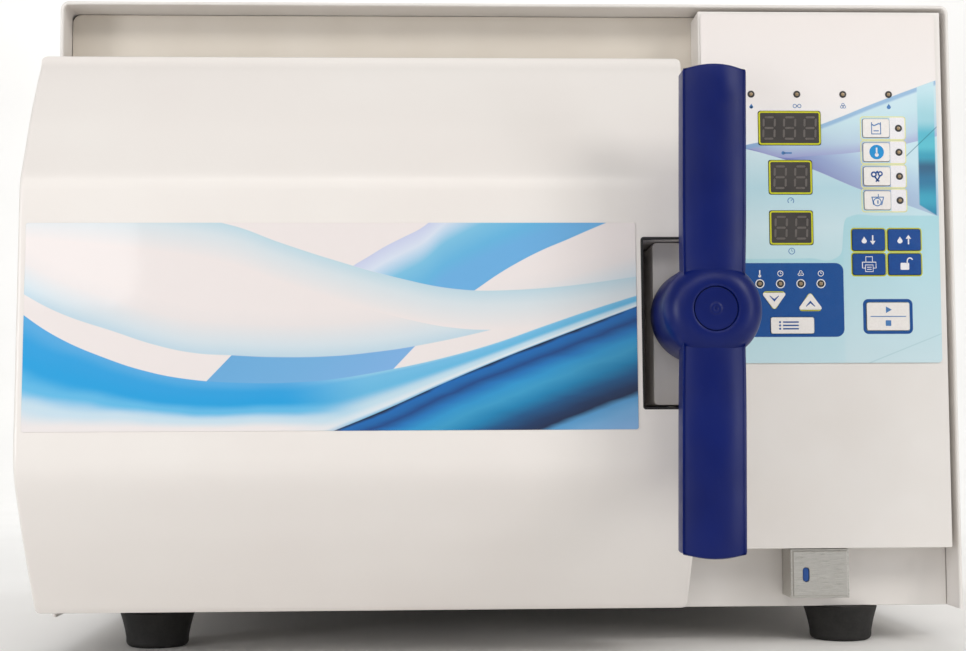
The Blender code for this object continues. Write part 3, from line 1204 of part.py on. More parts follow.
def make_reset_button():
    """The blue reset button of the overheat cut-out, reached through the slot."""
    x, z = COVER_SLOT_X, COVER_SLOT_Z
    face = RIM - COVER_REACH + RESET_SINK
    width, height = COVER_SLOT_WIDTH - 2 * GAP, COVER_SLOT_HEIGHT - 2 * GAP
    button = prism(rectangle(x, z, width, height, width * BUTTON_ROUNDING, 4), "Y", face,
                   FASCIA_Y - GAP - RESET_TRAVEL - GAP)
    node("reset_button", button, BLUE_PRINT, 0.35)
    return hang(button, pivot("reset_button_axis", (x, face, z)))


# ---- water --------------------------------------------------------------------------------
def make_reservoir():
    """The open water tank under the filler mouth, with a flange that the lid rests on."""
    front, back = RIM + TANK_INSET, RIM + TANK_INSET + TANK_LENGTH
    middle = (front + back) / 2
    outline = rectangle((TANK_LEFT + TANK_RIGHT) / 2, middle, TANK_RIGHT - TANK_LEFT,
                        TANK_LENGTH, TANK_CORNER)
    tank = shell(outline, "Z", TANK_LOW, TANK_TOP, TANK_SHEET)
    rest = block((TANK_LEFT + TANK_SHEET / 2, TANK_RIGHT - TANK_SHEET / 2),
                 (front + TANK_SHEET / 2, RIM + MOUTH_INSET + LID_LEDGE),
                 (TANK_TOP - TANK_SHEET, TANK_TOP))
    return node("reservoir", joined(tank, rest), STEEL, 0.3, 1.0)


def make_reservoir_lid():
    """The flush lid in the hood's top, on a hinge along its rear edge."""
    width, length = MOUTH_WIDTH - 2 * LID_MARGIN, MOUTH_LENGTH - 2 * LID_MARGIN
    y = RIM + MOUTH_INSET + MOUTH_LENGTH / 2
    top = CASE_HEIGHT - GAP
    lid = prism(rectangle(MOUTH_X, y, width, length, LID_CORNER), "Z", top - LID_SHEET, top)
    node("reservoir_lid", lid, WHITE_PAINT, 0.35)
    axis_y = RIM + MOUTH_INSET + MOUTH_LENGTH - LID_MARGIN - LID_AXIS_INSET
    return hang(lid, pivot("lid_axis", (MOUTH_X, axis_y, top - LID_SHEET / 2)))


def make_solenoid_valve(name, x, y, base):
    """A brass valve body with a round coil on top of it."""
    half = VALVE_BODY / 2
    body = block((x - half, x + half), (y - half, y + half), (base, base + VALVE_BODY))
    coil = rod(COIL_WIDTH / 2, "Z", (x, y), base + VALVE_BODY - OVERLAP,
               base + VALVE_BODY + COIL_HEIGHT)
    return node(name, joined(body, coil), BRASS, 0.4, 0.6)


def make_steam_pipe():
    """The copper pipe from the chamber's back down to the exhaust valve."""
    start = Vector((CHAMBER_X + PIPE_START_ACROSS,
                    FLANGE_Y + CHAMBER_LENGTH + CHAMBER_WALL + GAP,
                    CHAMBER_Z - PIPE_START_DROP))
    end = Vector((EXHAUST_VALVE_X - VALVE_BODY / 2 - GAP, RIM + EXHAUST_VALVE_INSET,
                  EXHAUST_VALVE_Z + VALVE_BODY / 2))
    side, out = end.x - PIPE_SIDE, start.y + PIPE_OUT
    corners = [start, Vector((start.x, out, start.z)), Vector((side, out, start.z)),
               Vector((side, out, end.z)), Vector((side, end.y, end.z)), end]
    route = [corners[0]]
    bend = 3 * PIPE_RADIUS
    for before, corner, after in zip(corners, corners[1:], corners[2:]):
        first = corner + (before - corner).normalized() * bend
        last = corner + (after - corner).normalized() * bend
        for step in range(5):
            share = step / 4
            route.append(first * (1 - share) ** 2 + corner * 2 * share * (1 - share)
                         + last * share ** 2)
    route.append(corners[-1])
    curve = bpy.data.curves.new("pipe", "CURVE")
    curve.dimensions = "3D"
    curve.bevel_depth = PIPE_RADIUS
    curve.bevel_resolution = 2
    curve.use_fill_caps = True
    spline = curve.splines.new("POLY")
    spline.points.add(len(route) - 1)
    for point, place in zip(spline.points, route):
        point.co = (*place, 1)
    pipe = bpy.data.objects.new("pipe", curve)
    bpy.context.scene.collection.objects.link(pipe)
    mesh = bpy.data.meshes.new_from_object(
        pipe.evaluated_get(bpy.context.evaluated_depsgraph_get()))
    bpy.data.objects.remove(pipe)
    shape = bmesh.new()
    shape.from_mesh(mesh)
    bmesh.ops.remove_doubles(shape, verts=shape.verts, dist=1e-6)
    return node("steam_pipe", as_object(shape), COPPER, 0.3, 1.0, smooth=True)


# ---- rear ---------------------------------------------------------------------------------
def make_fan_frame():
    """The square fan housing, with the motor held in the middle of its bore on three arms."""
    back = REAR_Y - GAP
    front = back - FAN_THICKNESS
    frame = prism(rectangle(FAN_X, FAN_Z, FAN_SIZE, FAN_SIZE, FAN_CORNER), "Y", front, back)
    cut(frame, rod(FAN_BORE, "Y", (FAN_X, FAN_Z), front - OVERLAP, back + OVERLAP, steps=48))
    joined(frame, rod(FAN_HUB, "Y", (FAN_X, FAN_Z), front, front + FAN_ARM_DEPTH))
    for i in range(FAN_ARMS):
        turn = 2 * math.pi * i / FAN_ARMS + math.pi / 6
        along = Vector((math.cos(turn), math.sin(turn)))
        across = Vector((-along.y, along.x)) * FAN_ARM_HALF
        near, far = along * (FAN_HUB - FAN_ARM_HALF), along * (FAN_BORE + OVERLAP)
        ends = (near - across, far - across, far + across, near + across)
        arm = prism([(FAN_X + p.x, FAN_Z + p.y) for p in ends], "Y", front + FAN_ARM_SINK,
                    front + FAN_ARM_DEPTH - FAN_ARM_SINK)
        joined(frame, arm)
    return node("fan_frame", frame, BLACK_PLASTIC, 0.5)


def make_fan_rotor():
    """The fan's hub with its slanted blades."""
    front = REAR_Y - GAP - FAN_THICKNESS + FAN_ARM_DEPTH + RUNNING
    back = REAR_Y - GAP - FAN_BACK_INSET
    rotor = rod(FAN_HUB, "Y", (FAN_X, FAN_Z), front, back)
    root, tip = FAN_HUB - BLADE_INSET, FAN_BORE - BLADE_INSET
    for i in range(FAN_BLADES):
        shape = bmesh.new()
        rings = []
        for y, shift in ((front + BLADE_INSET, -BLADE_SLANT), (back - BLADE_INSET, BLADE_SLANT)):
            low, high = shift - BLADE_HALF, shift + BLADE_HALF
            corners = [(root, low), (tip, low), (tip, high), (root, high)]
            turn = Matrix.Rotation(2 * math.pi * i / FAN_BLADES, 2)
            points = [turn @ Vector(corner) for corner in corners]
            rings.append([shape.verts.new((FAN_X + p.x, y, FAN_Z + p.y)) for p in points])
        shape.faces.new(rings[0])
        shape.faces.new(rings[1])
        for j in range(4):
            k = (j + 1) % 4
            shape.faces.new((rings[0][j], rings[0][k], rings[1][k], rings[1][j]))
        joined(rotor, as_object(shape))
    node("fan_rotor", rotor, BLACK_PLASTIC, 0.5)
    return hang(rotor, pivot("fan_axis", (FAN_X, front, FAN_Z)))


def rocker_pivot():
    return (INLET_X, REAR_Y + PANEL_SHEET - ROCKER_AXIS_INSET, INLET_Z + ROCKER_RISE)


def make_power_inlet():
    """The mains inlet moulding: a flange on the panel, a socket with three blades, and an
    opening for the rocker switch."""
    face = INLET_FACE
    inside = REAR_Y - INLET_DEPTH
    body = prism(rectangle(INLET_X, INLET_Z, INLET_BODY_WIDTH, INLET_BODY_HEIGHT), "Y", inside,
                 face - OVERLAP)
    flange = rectangle(INLET_X, INLET_Z, INLET_WIDTH, INLET_HEIGHT, INLET_CORNER)
    joined(body, prism(flange, "Y", face - INLET_FLANGE, face))
    socket_z = INLET_Z - SOCKET_DROP + SOCKET_RISE
    bevel = SOCKET_BEVEL
    half_width, half_height = SOCKET_WIDTH / 2 - SOCKET_SIDE, SOCKET_HEIGHT / 2
    mouth = [(INLET_X - half_width, socket_z + half_height),
             (INLET_X - half_width, socket_z - half_height + bevel),
             (INLET_X - half_width + bevel, socket_z - half_height),
             (INLET_X + half_width - bevel, socket_z - half_height),
             (INLET_X + half_width, socket_z - half_height + bevel),
             (INLET_X + half_width, socket_z + half_height)]
    cut(body, prism(mouth, "Y", face - SOCKET_DEPTH, face + OVERLAP))
    for dx, dz in BLADE_PLACES:
        blade = rectangle(INLET_X + dx, socket_z + dz, BLADE_WIDTH, BLADE_HEIGHT)
        joined(body, prism(blade, "Y", face - SOCKET_DEPTH - OVERLAP, face - BLADE_SINK))
    switch = rectangle(INLET_X, INLET_Z + ROCKER_RISE, ROCKER_WIDTH + 2 * RUNNING,
                       ROCKER_HEIGHT + 2 * RUNNING + ROCKER_ROOM)
    cut(body, prism(switch, "Y", face - ROCKER_WELL, face + OVERLAP))
    return node("power_inlet", body, BLACK_PLASTIC, 0.45)


def make_rocker():
    """The mains switch: a rocker whose face is two slopes, resting with one end pressed in."""
    x, y, z = rocker_pivot()
    half, proud = ROCKER_HEIGHT / 2, INLET_FACE - y
    dip = half * math.tan(math.radians(ROCKER_TILT))
    heart = y + proud - ROCKER_SINK
    profile = [(y - ROCKER_BODY, z - half * ROCKER_WAIST), (heart + dip, z - half), (heart, z),
               (heart + dip, z + half), (y - ROCKER_BODY, z + half * ROCKER_WAIST)]
    rocker = prism(profile, "X", x - ROCKER_WIDTH / 2, x + ROCKER_WIDTH / 2)
    rest = Matrix.Rotation(math.radians(ROCKER_TILT), 4, "X")
    place = Matrix.Translation((x, y, z))
    rocker.data.transform(place @ rest @ place.inverted())
    node("mains_switch", rocker, BLACK_PLASTIC, 0.35)
    return hang(rocker, pivot("rocker_axis", (x, y, z)))


def make_safety_valve():
    """The spring safety valve: a brass body through the rear panel, bored for the stem."""
    outside = REAR_Y + PANEL_SHEET + GAP
    neck, bore = SAFETY_NECK, RING_BAR + RUNNING
    tip = outside + SAFETY_REACH
    inside = REAR_Y - SAFETY_DEPTH
    profile = [(bore, inside), (neck, inside), (neck, outside), (SAFETY_RADIUS, outside),
               (SAFETY_RADIUS, tip - SAFETY_EDGE), (neck, tip - SAFETY_EDGE + SAFETY_SLOPE), (neck, tip), (bore, tip)]
    valve = turned(profile, "Y", (SAFETY_X, SAFETY_Z), steps=16)
    return node("safety_valve", valve, BRASS, 0.35, 1.0, smooth=True)


def make_safety_ring():
    """The pull ring on the safety valve's stem."""
    x, z = SAFETY_X, SAFETY_Z
    tip = REAR_Y + PANEL_SHEET + GAP + SAFETY_REACH
    ring_y = tip + RUNNING + RING_BAR + RING_RADIUS
    stem = rod(RING_BAR, "Y", (x, z), REAR_Y - SAFETY_DEPTH + STEM_INSET, ring_y - RING_RADIUS,
               steps=12)
    ring = bmesh.new()
    loops = []
    for i in range(RING_STEPS):
        turn = 2 * math.pi * i / RING_STEPS
        out = Vector((0, math.cos(turn), math.sin(turn)))
        middle = Vector((x, ring_y, z)) + out * RING_RADIUS
        loops.append([ring.verts.new(middle + out * RING_BAR * math.cos(a)
                                     + Vector((RING_BAR * math.sin(a), 0, 0)))
                      for a in (2 * math.pi * k / RING_BAR_STEPS
                                for k in range(RING_BAR_STEPS))])
    for loop, following in zip(loops, loops[1:] + loops[:1]):
        for k in range(RING_BAR_STEPS):
            m = (k + 1) % RING_BAR_STEPS
            ring.faces.new((loop[k], following[k], following[m], loop[m]))
    solid = joined(stem, as_object(ring))
    node("safety_valve_ring", solid, STEEL, 0.25, 1.0, smooth=True)
    return hang(solid, pivot("safety_ring_axis", (x, ring_y, z)))


def make_exhaust_fitting():
    """The brass hose tail that steam and water leave by, with two barbs."""
    outside = REAR_Y + PANEL_SHEET + GAP
    tip = RIM + CASE_DEPTH + REAR_REACH
    inside, nut = REAR_Y - EXHAUST_INSIDE, outside + NUT_DEPTH
    bore, barb = EXHAUST_BORE, BARB_DEPTH
    first, second = outside + BARB_FIRST, outside + BARB_SECOND
    profile = [(bore, inside), (EXHAUST_NECK, inside), (EXHAUST_NECK, outside),
               (EXHAUST_NECK + NUT_WIDTH, outside), (EXHAUST_NECK + NUT_WIDTH, nut),
               (EXHAUST_NECK - barb, nut), (EXHAUST_NECK - barb, first), (EXHAUST_NECK, first), (EXHAUST_NECK - barb, second),
               (EXHAUST_NECK, second), (EXHAUST_NECK - 2 * barb, tip), (bore, tip)]
    fitting = turned(profile, "Y", (EXHAUST_X, EXHAUST_Z), steps=16)
    return node("exhaust_fitting", fitting, BRASS, 0.35, 1.0, smooth=True)


def make_power_board():
    """The power board on the right wall, with its transformer, relays and capacitors."""
    face = INNER_SIDE - BOARD_WALL_SPACE
    start, low = RIM + POWER_BOARD_INSET, CASE_LIFT + POWER_BOARD_LIFT
    board = block((face - BOARD_SHEET, face), (start, start + POWER_BOARD_LENGTH),
                  (low, low + POWER_BOARD_HEIGHT))
    for y, z, length, height, rise in POWER_PARTS:
        near, base = start + y * MM, low + z * MM
        joined(board, block((face - BOARD_SHEET - rise * MM, face - BOARD_SHEET / 2),
                            (near, near + length * MM), (base, base + height * MM)))
    return node("power_board", board, BOARD_GREEN, 0.5)


def main():
    for old in list(bpy.data.objects):
        bpy.data.objects.remove(old)
    make_hood()
    make_base_pan()
    make_fascia()
    make_rear_panel()
    make_feet()
    make_chamber()
    make_heater_band()
    make_jacket()
    make_tray("tray_lower", CHAMBER_Z - TRAY_DROP)
    make_tray("tray_upper", CHAMBER_Z + TRAY_RISE)
    make_rack()
    low, high = lug_heights()
    make_hinge_bracket("hinge_bracket_lower", low)
    make_hinge_bracket("hinge_bracket_upper", high)
    make_hinge_pin()
    make_keeper()
    door = pivot("door_axis", (HINGE_X, HINGE_Y, CHAMBER_Z))
    for piece in (make_door_cover(), make_door_film(), make_door_frame(), make_pressure_plate(),
                  make_gasket(), make_hinge_strap(), make_latch_block()):
        hang(piece, door)
    handle = pivot("handle_axis", (LATCH_X, HUB_FACE, LATCH_Z), door)
    for piece in (make_handle(), make_handle_cap(), make_spindle()):
        hang(piece, handle)
    make_control_box()
    make_overlay()
    make_board()
    make_display_module()
    make_keys()
    make_service_cover()
    make_reset_button()
    make_reservoir()
    make_reservoir_lid()
    make_solenoid_valve("fill_valve", FILL_VALVE_X, RIM + FILL_VALVE_INSET,
                        TANK_LOW - GAP - VALVE_BODY - COIL_HEIGHT)
    make_solenoid_valve("exhaust_valve", EXHAUST_VALVE_X, RIM + EXHAUST_VALVE_INSET,
                        EXHAUST_VALVE_Z)
    make_steam_pipe()
    make_fan_frame()
    make_fan_rotor()
    make_power_inlet()
    make_rocker()
    make_safety_valve()
    make_safety_ring()
    make_exhaust_fitting()
    make_power_board()


main()
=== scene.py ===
# %% [markdown]
# # A benchtop steam autoclave
# The machine's frame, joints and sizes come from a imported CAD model.  This lesson dresses
# that frame: it gives every CAD part a real finish, and replaces the parts that the eye
# rests on with finer surfaces.  The frame is loaded first, because every place below is
# read from it.

# %% The frame
import math

import bpy
import numpy as np
from mathutils import Matrix, Vector


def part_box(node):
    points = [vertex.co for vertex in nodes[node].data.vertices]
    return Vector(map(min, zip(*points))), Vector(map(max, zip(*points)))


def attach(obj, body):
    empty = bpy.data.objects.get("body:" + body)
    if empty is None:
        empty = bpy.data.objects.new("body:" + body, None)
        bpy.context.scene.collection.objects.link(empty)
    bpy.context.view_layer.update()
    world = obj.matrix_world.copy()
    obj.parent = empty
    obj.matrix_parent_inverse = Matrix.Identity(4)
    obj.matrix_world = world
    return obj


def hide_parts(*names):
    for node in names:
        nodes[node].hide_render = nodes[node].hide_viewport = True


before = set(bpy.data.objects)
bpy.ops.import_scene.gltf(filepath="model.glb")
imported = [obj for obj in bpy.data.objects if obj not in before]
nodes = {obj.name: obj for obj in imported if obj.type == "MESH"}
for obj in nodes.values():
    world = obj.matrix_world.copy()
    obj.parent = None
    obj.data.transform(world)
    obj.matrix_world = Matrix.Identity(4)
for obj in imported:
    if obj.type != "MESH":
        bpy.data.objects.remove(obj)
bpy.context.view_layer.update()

MM = 0.001


def box_of(node):
    """The lowest and the highest corner of a CAD part, as arrays."""
    low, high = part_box(node)
    return np.array(low), np.array(high)


# %% [markdown]
# ## The camera
# A camera is a place, a lens and three turns.  The lens and the turns were found once, by
# fitting the machine's straight edges; the place is measured from the hood's front rim, so
# it follows the case.

# %% Camera
RIM = box_of("hood")[0][1]
LENS = 58.18
CAMERA_PLACE = Vector((-0.04935, RIM - 0.88006, 0.12207))
YAW, PITCH, ROLL = -0.0380, 0.0674, 0.0052


def make_camera():
    """A camera whose axes are Rz(yaw) Rx(pitch) Ry(roll) applied to right, forward and up."""
    turn = (Matrix.Rotation(YAW, 3, "Z") @ Matrix.Rotation(PITCH, 3, "X")
            @ Matrix.Rotation(ROLL, 3, "Y"))
    right, forward, up = turn.col[0], turn.col[1], turn.col[2]
    placed = Matrix((right, up, -forward)).transposed().to_4x4()
    placed.translation = CAMERA_PLACE
    lens = bpy.data.cameras.new("studio_camera")
    lens.lens = LENS
    lens.clip_start = 0.01
    camera = bpy.data.objects.new("studio_camera", lens)
    camera.matrix_world = placed
    bpy.context.scene.collection.objects.link(camera)
    bpy.context.scene.camera = camera


make_camera()
print("rim of the hood at y =", round(float(RIM), 4))

# %% [markdown]
# ## Colour and shader nodes
# Colours are written as sRGB hex, as a paint maker would give them, and one function turns
# them into the linear numbers that a shader mixes.  One other function adds any node with
# its settings and links, so that a material reads as a short list.


# %% Colour and node helpers
def colour(text):
    """sRGB hex to linear RGBA: c/12.92 below 0.04045, else ((c + 0.055) / 1.055) ** 2.4."""
    parts = np.array([int(text[i:i + 2], 16) / 255 for i in (1, 3, 5)])
    linear = np.where(parts <= 0.04045, parts / 12.92, ((parts + 0.055) / 1.055) ** 2.4)
    return (*linear.tolist(), 1.0)


def add(tree, kind, inputs=(), stops=(), blend="LINEAR", **settings):
    """Adds a shader node.  inputs fills sockets in order, or maps their names or numbers; a
    value may be a number, a colour, an output socket, or a node whose first output feeds it.
    stops are the (place, hex) pairs of a colour ramp; settings are the node's properties."""
    made = tree.nodes.new("ShaderNode" + kind)
    for name, value in settings.items():
        setattr(made, name, value)
    if stops:
        made.color_ramp.interpolation = blend
        elements = made.color_ramp.elements
        while len(elements) < len(stops):
            elements.new(1.0)
        for element, (place, text) in zip(elements, stops):
            element.position = place
            element.color = colour(text)
    for socket, value in dict(inputs if isinstance(inputs, dict) else enumerate(inputs)).items():
        if isinstance(value, bpy.types.Node):
            value = value.outputs[0]
        if isinstance(value, bpy.types.NodeSocket):
            tree.links.new(value, made.inputs[socket])
        else:
            made.inputs[socket].default_value = value
    return made


def start(name, **sockets):
    """A material with one Principled shader and a coordinate in millimetres."""
    material = bpy.data.materials.new(name)
    material.use_nodes = True
    tree = material.node_tree
    tree.nodes.clear()
    shader = add(tree, "BsdfPrincipled", {key.replace("_", " "): value
                                          for key, value in sockets.items()})
    add(tree, "OutputMaterial", {"Surface": shader.outputs[0]})
    place = add(tree, "TexCoord")
    scaled = add(tree, "Mapping", {"Vector": place.outputs["Object"], "Scale": (1000,) * 3})
    return material, tree, shader, scaled.outputs[0]


def grain(tree, place, size, stretch=(1, 1, 1), detail=2.0):
    """Noise whose blobs are about size millimetres across; stretch lengthens them."""
    spread = add(tree, "Mapping", {"Vector": place, "Scale": tuple(
        1 / (size * value) for value in stretch)})
    return add(tree, "TexNoise", {"Vector": spread.outputs[0], "Scale": 1.0,
                                  "Detail": detail}).outputs["Fac"]


def paint(tree, shader, value, stops):
    """Base colour that moves between (place, hex) stops with a noise value."""
    ramp = add(tree, "ValToRGB", (value,), stops)
    tree.links.new(ramp.outputs[0], shader.inputs["Base Color"])


def roughen(tree, shader, value, low, high):
    """Roughness that wanders between low and high with a noise value."""
    spread = add(tree, "MapRange", {"Value": value, "From Min": 0.3, "From Max": 0.7,
                                    "To Min": low, "To Max": high})
    tree.links.new(spread.outputs[0], shader.inputs["Roughness"])


def emboss(tree, shader, value, depth):
    """A bump of depth millimetres that follows a noise value."""
    bump = add(tree, "Bump", {"Height": value, "Distance": depth * MM})
    tree.links.new(bump.outputs[0], shader.inputs["Normal"])


print("white of the case, linear:", [round(part, 3) for part in colour("#E8E4E0")[:3]])

# %% [markdown]
# ## Painted and moulded finishes
# The case is folded steel with a baked powder coat: warm white, satin, with an orange-peel
# ripple of about a millimetre that softens every reflection.  The door is a moulded cover
# in the same white, smoother and a little glossier.  The handle is a thick navy nylon
# moulding, spark-eroded to a satin grain.


# %% Powder coat, door moulding and navy nylon
def make_powder_coat(name, tint, shade):
    """Baked polyester powder: a trace of cloud, and an orange peel of 1.1 mm."""
    material, tree, shader, place = start(name, Metallic=0.0, IOR=1.5, Coat_Weight=0.15,
                                          Coat_Roughness=0.25)
    cloud = grain(tree, place, 45.0)
    paint(tree, shader, cloud, [(0.3, shade), (0.7, tint)])
    roughen(tree, shader, grain(tree, place, 40.0), 0.37, 0.42)
    emboss(tree, shader, grain(tree, place, 1.1, detail=3.0), 0.012)
    return material


def make_door_moulding():
    """Gloss white moulding: broad sink ripples and a trace of surface texture."""
    material, tree, shader, place = start("gloss_white_door_moulding", IOR=1.49,
                                          Coat_Weight=0.2, Coat_Roughness=0.25)
    cloud = grain(tree, place, 80.0)
    paint(tree, shader, cloud, [(0.3, "#E6E0DB"), (0.7, "#E9E4DF")])
    roughen(tree, shader, grain(tree, place, 60.0), 0.33, 0.37)
    ripple = grain(tree, place, 60.0, detail=1.0)
    first = add(tree, "Bump", {"Height": ripple, "Distance": 0.05 * MM})
    fine = add(tree, "Bump", {"Height": grain(tree, place, 0.8), "Distance": 0.006 * MM,
                              "Normal": first.outputs[0]})
    tree.links.new(fine.outputs[0], shader.inputs["Normal"])
    return material


def make_navy_nylon():
    """Satin navy nylon: a spark-eroded grain of 0.45 mm, and grip-polished patches."""
    material, tree, shader, place = start("navy_nylon_moulding", IOR=1.53,
                                          Specular_IOR_Level=0.22)
    cloud = grain(tree, place, 30.0)
    paint(tree, shader, cloud, [(0.3, "#001257"), (0.7, "#001660")])
    roughen(tree, shader, grain(tree, place, 18.0), 0.3, 0.42)
    emboss(tree, shader, grain(tree, place, 0.45, detail=3.0), 0.02)
    return material


powder_coat = make_powder_coat("white_powder_coat", "#E8E4E0", "#E4DFDA")
# Painted shade: the fascia's coat is the white case coat made darker and warmer, for the shade it
# sits in, recessed behind the hood's rim.
painted_shade_coat = make_powder_coat("white_powder_coat_painted_shade", "#E2DACE", "#DCD3C6")
door_white = make_door_moulding()
navy = make_navy_nylon()
print("painted and moulded finishes:", len(bpy.data.materials))

# %% [markdown]
# ## Metals
# A metal's colour is its reflection, so its base colour is the real metal's and its look
# comes from the finish: brushing draws scratches along one way, so its noise is stretched
# up to thirty times that way; plating leaves a fine even grain.


# %% Brushed, plated and drawn metals
def make_metal(name, dark, light, roughness, size, stretch, depth):
    """Metal with a brushed or plated grain: size is the scratch's width in millimetres."""
    material, tree, shader, place = start(name, Metallic=1.0)
    scratch = grain(tree, place, size, stretch, detail=4.0)
    paint(tree, shader, scratch, [(0.3, dark), (0.7, light)])
    roughen(tree, shader, scratch, roughness - 0.06, roughness + 0.08)
    emboss(tree, shader, scratch, depth)
    return material


stainless = make_metal("brushed_stainless_sheet", "#B4B1AB", "#D8D6D1", 0.3, 0.25,
                       (30, 1, 1), 0.01)
stainless_round = make_metal("turned_stainless", "#B9B7B2", "#D6D4D0", 0.26, 0.3,
                             (1, 30, 1), 0.008)
plated = make_metal("zinc_plated_steel", "#A9A9A4", "#CBCBC6", 0.34, 0.6, (1, 1, 1), 0.01)
brass = make_metal("machined_brass", "#B18F4A", "#D2B066", 0.28, 0.3, (1, 12, 1), 0.01)
copper = make_metal("drawn_copper", "#A9623E", "#CF8B62", 0.3, 0.5, (8, 8, 1), 0.01)
print("with metals:", len(bpy.data.materials))

# %% [markdown]
# ## Rubber, plastics and the parts inside
# Rubber and black plastic are nearly black and differ in gloss and grain.  Silicone lets
# some light in, glass wool is a mat of pale fibres, and a circuit board is green resin
# over a pattern of copper tracks.


# %% Rubber, plastic, silicone, wool, board and lens
def make_plain(name, dark, light, rough, size, depth, **sockets):
    """A moulded or pressed material: two close tones, and a grain of size millimetres."""
    material, tree, shader, place = start(name, **sockets)
    speck = grain(tree, place, size, detail=4.0)
    paint(tree, shader, speck, [(0.3, dark), (0.7, light)])
    roughen(tree, shader, grain(tree, place, size * 5), rough - 0.06, rough + 0.06)
    emboss(tree, shader, speck, depth)
    return material


# Rubber and nylon are dull blacks, silicone is waxy, and glass wool shows its fibres.
black_rubber = make_plain("moulded_black_rubber", "#141311", "#1E1C1A", 0.72, 1.2, 0.05)
black_plastic = make_plain("black_nylon", "#121212", "#1B1B1B", 0.45, 0.6, 0.03)
silicone = make_plain("red_silicone", "#9E4A38", "#B4604C", 0.5, 1.5, 0.02,
                      Subsurface_Weight=0.2, Subsurface_Scale=0.004)
glass_wool = make_plain("pressed_glass_wool", "#B9B190", "#E4DDC4", 0.9, 1.6, 0.5)
# Smoked acrylic is nearly mirror smooth, so it shows the room over a brown dark.
smoked_lens = make_plain("smoked_acrylic_lens", "#3B3735", "#45413E", 0.12, 14.0, 0.002,
                         IOR=1.49, Coat_Weight=0.6, Coat_Roughness=0.05)
# Keys and inks are screen-printed on polyester: flat colour and a soft sheen.
blue_key_face = make_plain("blue_printed_key", "#00408A", "#004892", 0.34, 1.0, 0.01,
                           Coat_Weight=0.3, Coat_Roughness=0.2)
white_key_face = make_plain("white_printed_key", "#E9E4E0", "#EFEBE7", 0.36, 1.0, 0.01,
                            Coat_Weight=0.3, Coat_Roughness=0.2)
blue_ink = make_plain("blue_ink", "#00468C", "#004E96", 0.38, 0.8, 0.004)
soft_blue_ink = make_plain("soft_blue_ink", "#3E73AE", "#4C80B8", 0.38, 0.8, 0.004)
white_ink = make_plain("white_ink", "#E4E2E6", "#F0EEF0", 0.38, 0.8, 0.004)
yellow_ink = make_plain("lemon_ink", "#C2C411", "#D0CF1E", 0.38, 0.8, 0.004)
pale_yellow_ink = make_plain("pale_lemon_ink", "#DEDC8E", "#E6E49C", 0.38, 0.8, 0.004)
sky_ink = make_plain("sky_blue_ink", "#1189C9", "#1B92D2", 0.38, 0.8, 0.004)
segment_grey = make_plain("unlit_segment", "#5F5955", "#68615D", 0.3, 2.0, 0.002,
                          Coat_Weight=0.5, Coat_Roughness=0.08)
# A lamp is a clear amber dome in a dark rim: unlit, it shows a small highlight.
lamp_bezel = make_plain("dark_lamp_rim", "#2E2B2A", "#3A3735", 0.35, 0.8, 0.01)
lamp_lens = make_plain("amber_lamp_lens", "#8C7658", "#A58C68", 0.12, 1.0, 0.01,
                       Coat_Weight=0.8, Coat_Roughness=0.04)


def make_circuit_board():
    """Green solder resist over copper: blocks about 3 by 1.6 mm stand for the tracks."""
    material, tree, shader, place = start("green_circuit_board", IOR=1.55, Coat_Weight=0.4)
    squares = add(tree, "TexBrick", {
        "Vector": place, "Scale": 0.16, "Color1": colour("#0B5A2C"),
        "Color2": colour("#0E6632"), "Mortar": colour("#2E8C4A"), "Mortar Size": 0.03})
    tree.links.new(squares.outputs["Color"], shader.inputs["Base Color"])
    roughen(tree, shader, grain(tree, place, 3.0), 0.3, 0.45)
    emboss(tree, shader, squares.outputs["Fac"], 0.05)
    return material


circuit_board = make_circuit_board()
print(len(bpy.data.materials), "materials")

# %% [markdown]
# ## Surfaces from numpy
# Every new shape below is a grid of points worked out in whole arrays, or an outline
# carried through a list of rings.  A ring list closes at its ends with one face each, and
# the signed volume tells whether its faces point out.


# %% Grids, rings and pieces
def ring_faces(rings, count, closed_along):
    """Quads between neighbouring rings of count points; both ways may wrap round."""
    first = np.arange(rings if closed_along else rings - 1)[:, None] * count
    following = (first + count) % (rings * count)
    here = np.arange(count)[None, :]
    there = (here + 1) % count
    quads = np.stack([first + here, first + there, following + there, following + here], -1)
    return quads.reshape(-1, 4).tolist()


def volume_of(points, faces):
    """Six times the signed volume: the sum of triple products of each face's fan."""
    total = 0.0
    for face in faces:
        corners = points[face]
        total += np.einsum("ij,ij->", np.cross(corners[1:-1], corners[2:]),
                           np.broadcast_to(corners[0], corners[2:].shape))
    return total


def solid(rings, closed_along=False):
    """A closed body from rings of points, (rings, points, 3), turned to face outwards."""
    rings = np.asarray(rings, float)
    count = rings.shape[1]
    points = rings.reshape(-1, 3)
    faces = ring_faces(len(rings), count, closed_along)
    if not closed_along:
        faces.append(list(range(count))[::-1])
        faces.append(list(range(len(points) - count, len(points))))
    if volume_of(points, faces) < 0:
        faces = [face[::-1] for face in faces]
    return points, faces


def make_mesh(name, bodies):
    """One mesh from several closed bodies."""
    points, faces, start_at = [], [], 0
    for body_points, body_faces in bodies:
        points.append(body_points)
        faces += [[index + start_at for index in face] for face in body_faces]
        start_at += len(body_points)
    mesh = bpy.data.meshes.new(name)
    mesh.from_pydata(np.concatenate(points).tolist(), [], faces)
    mesh.validate()
    return mesh


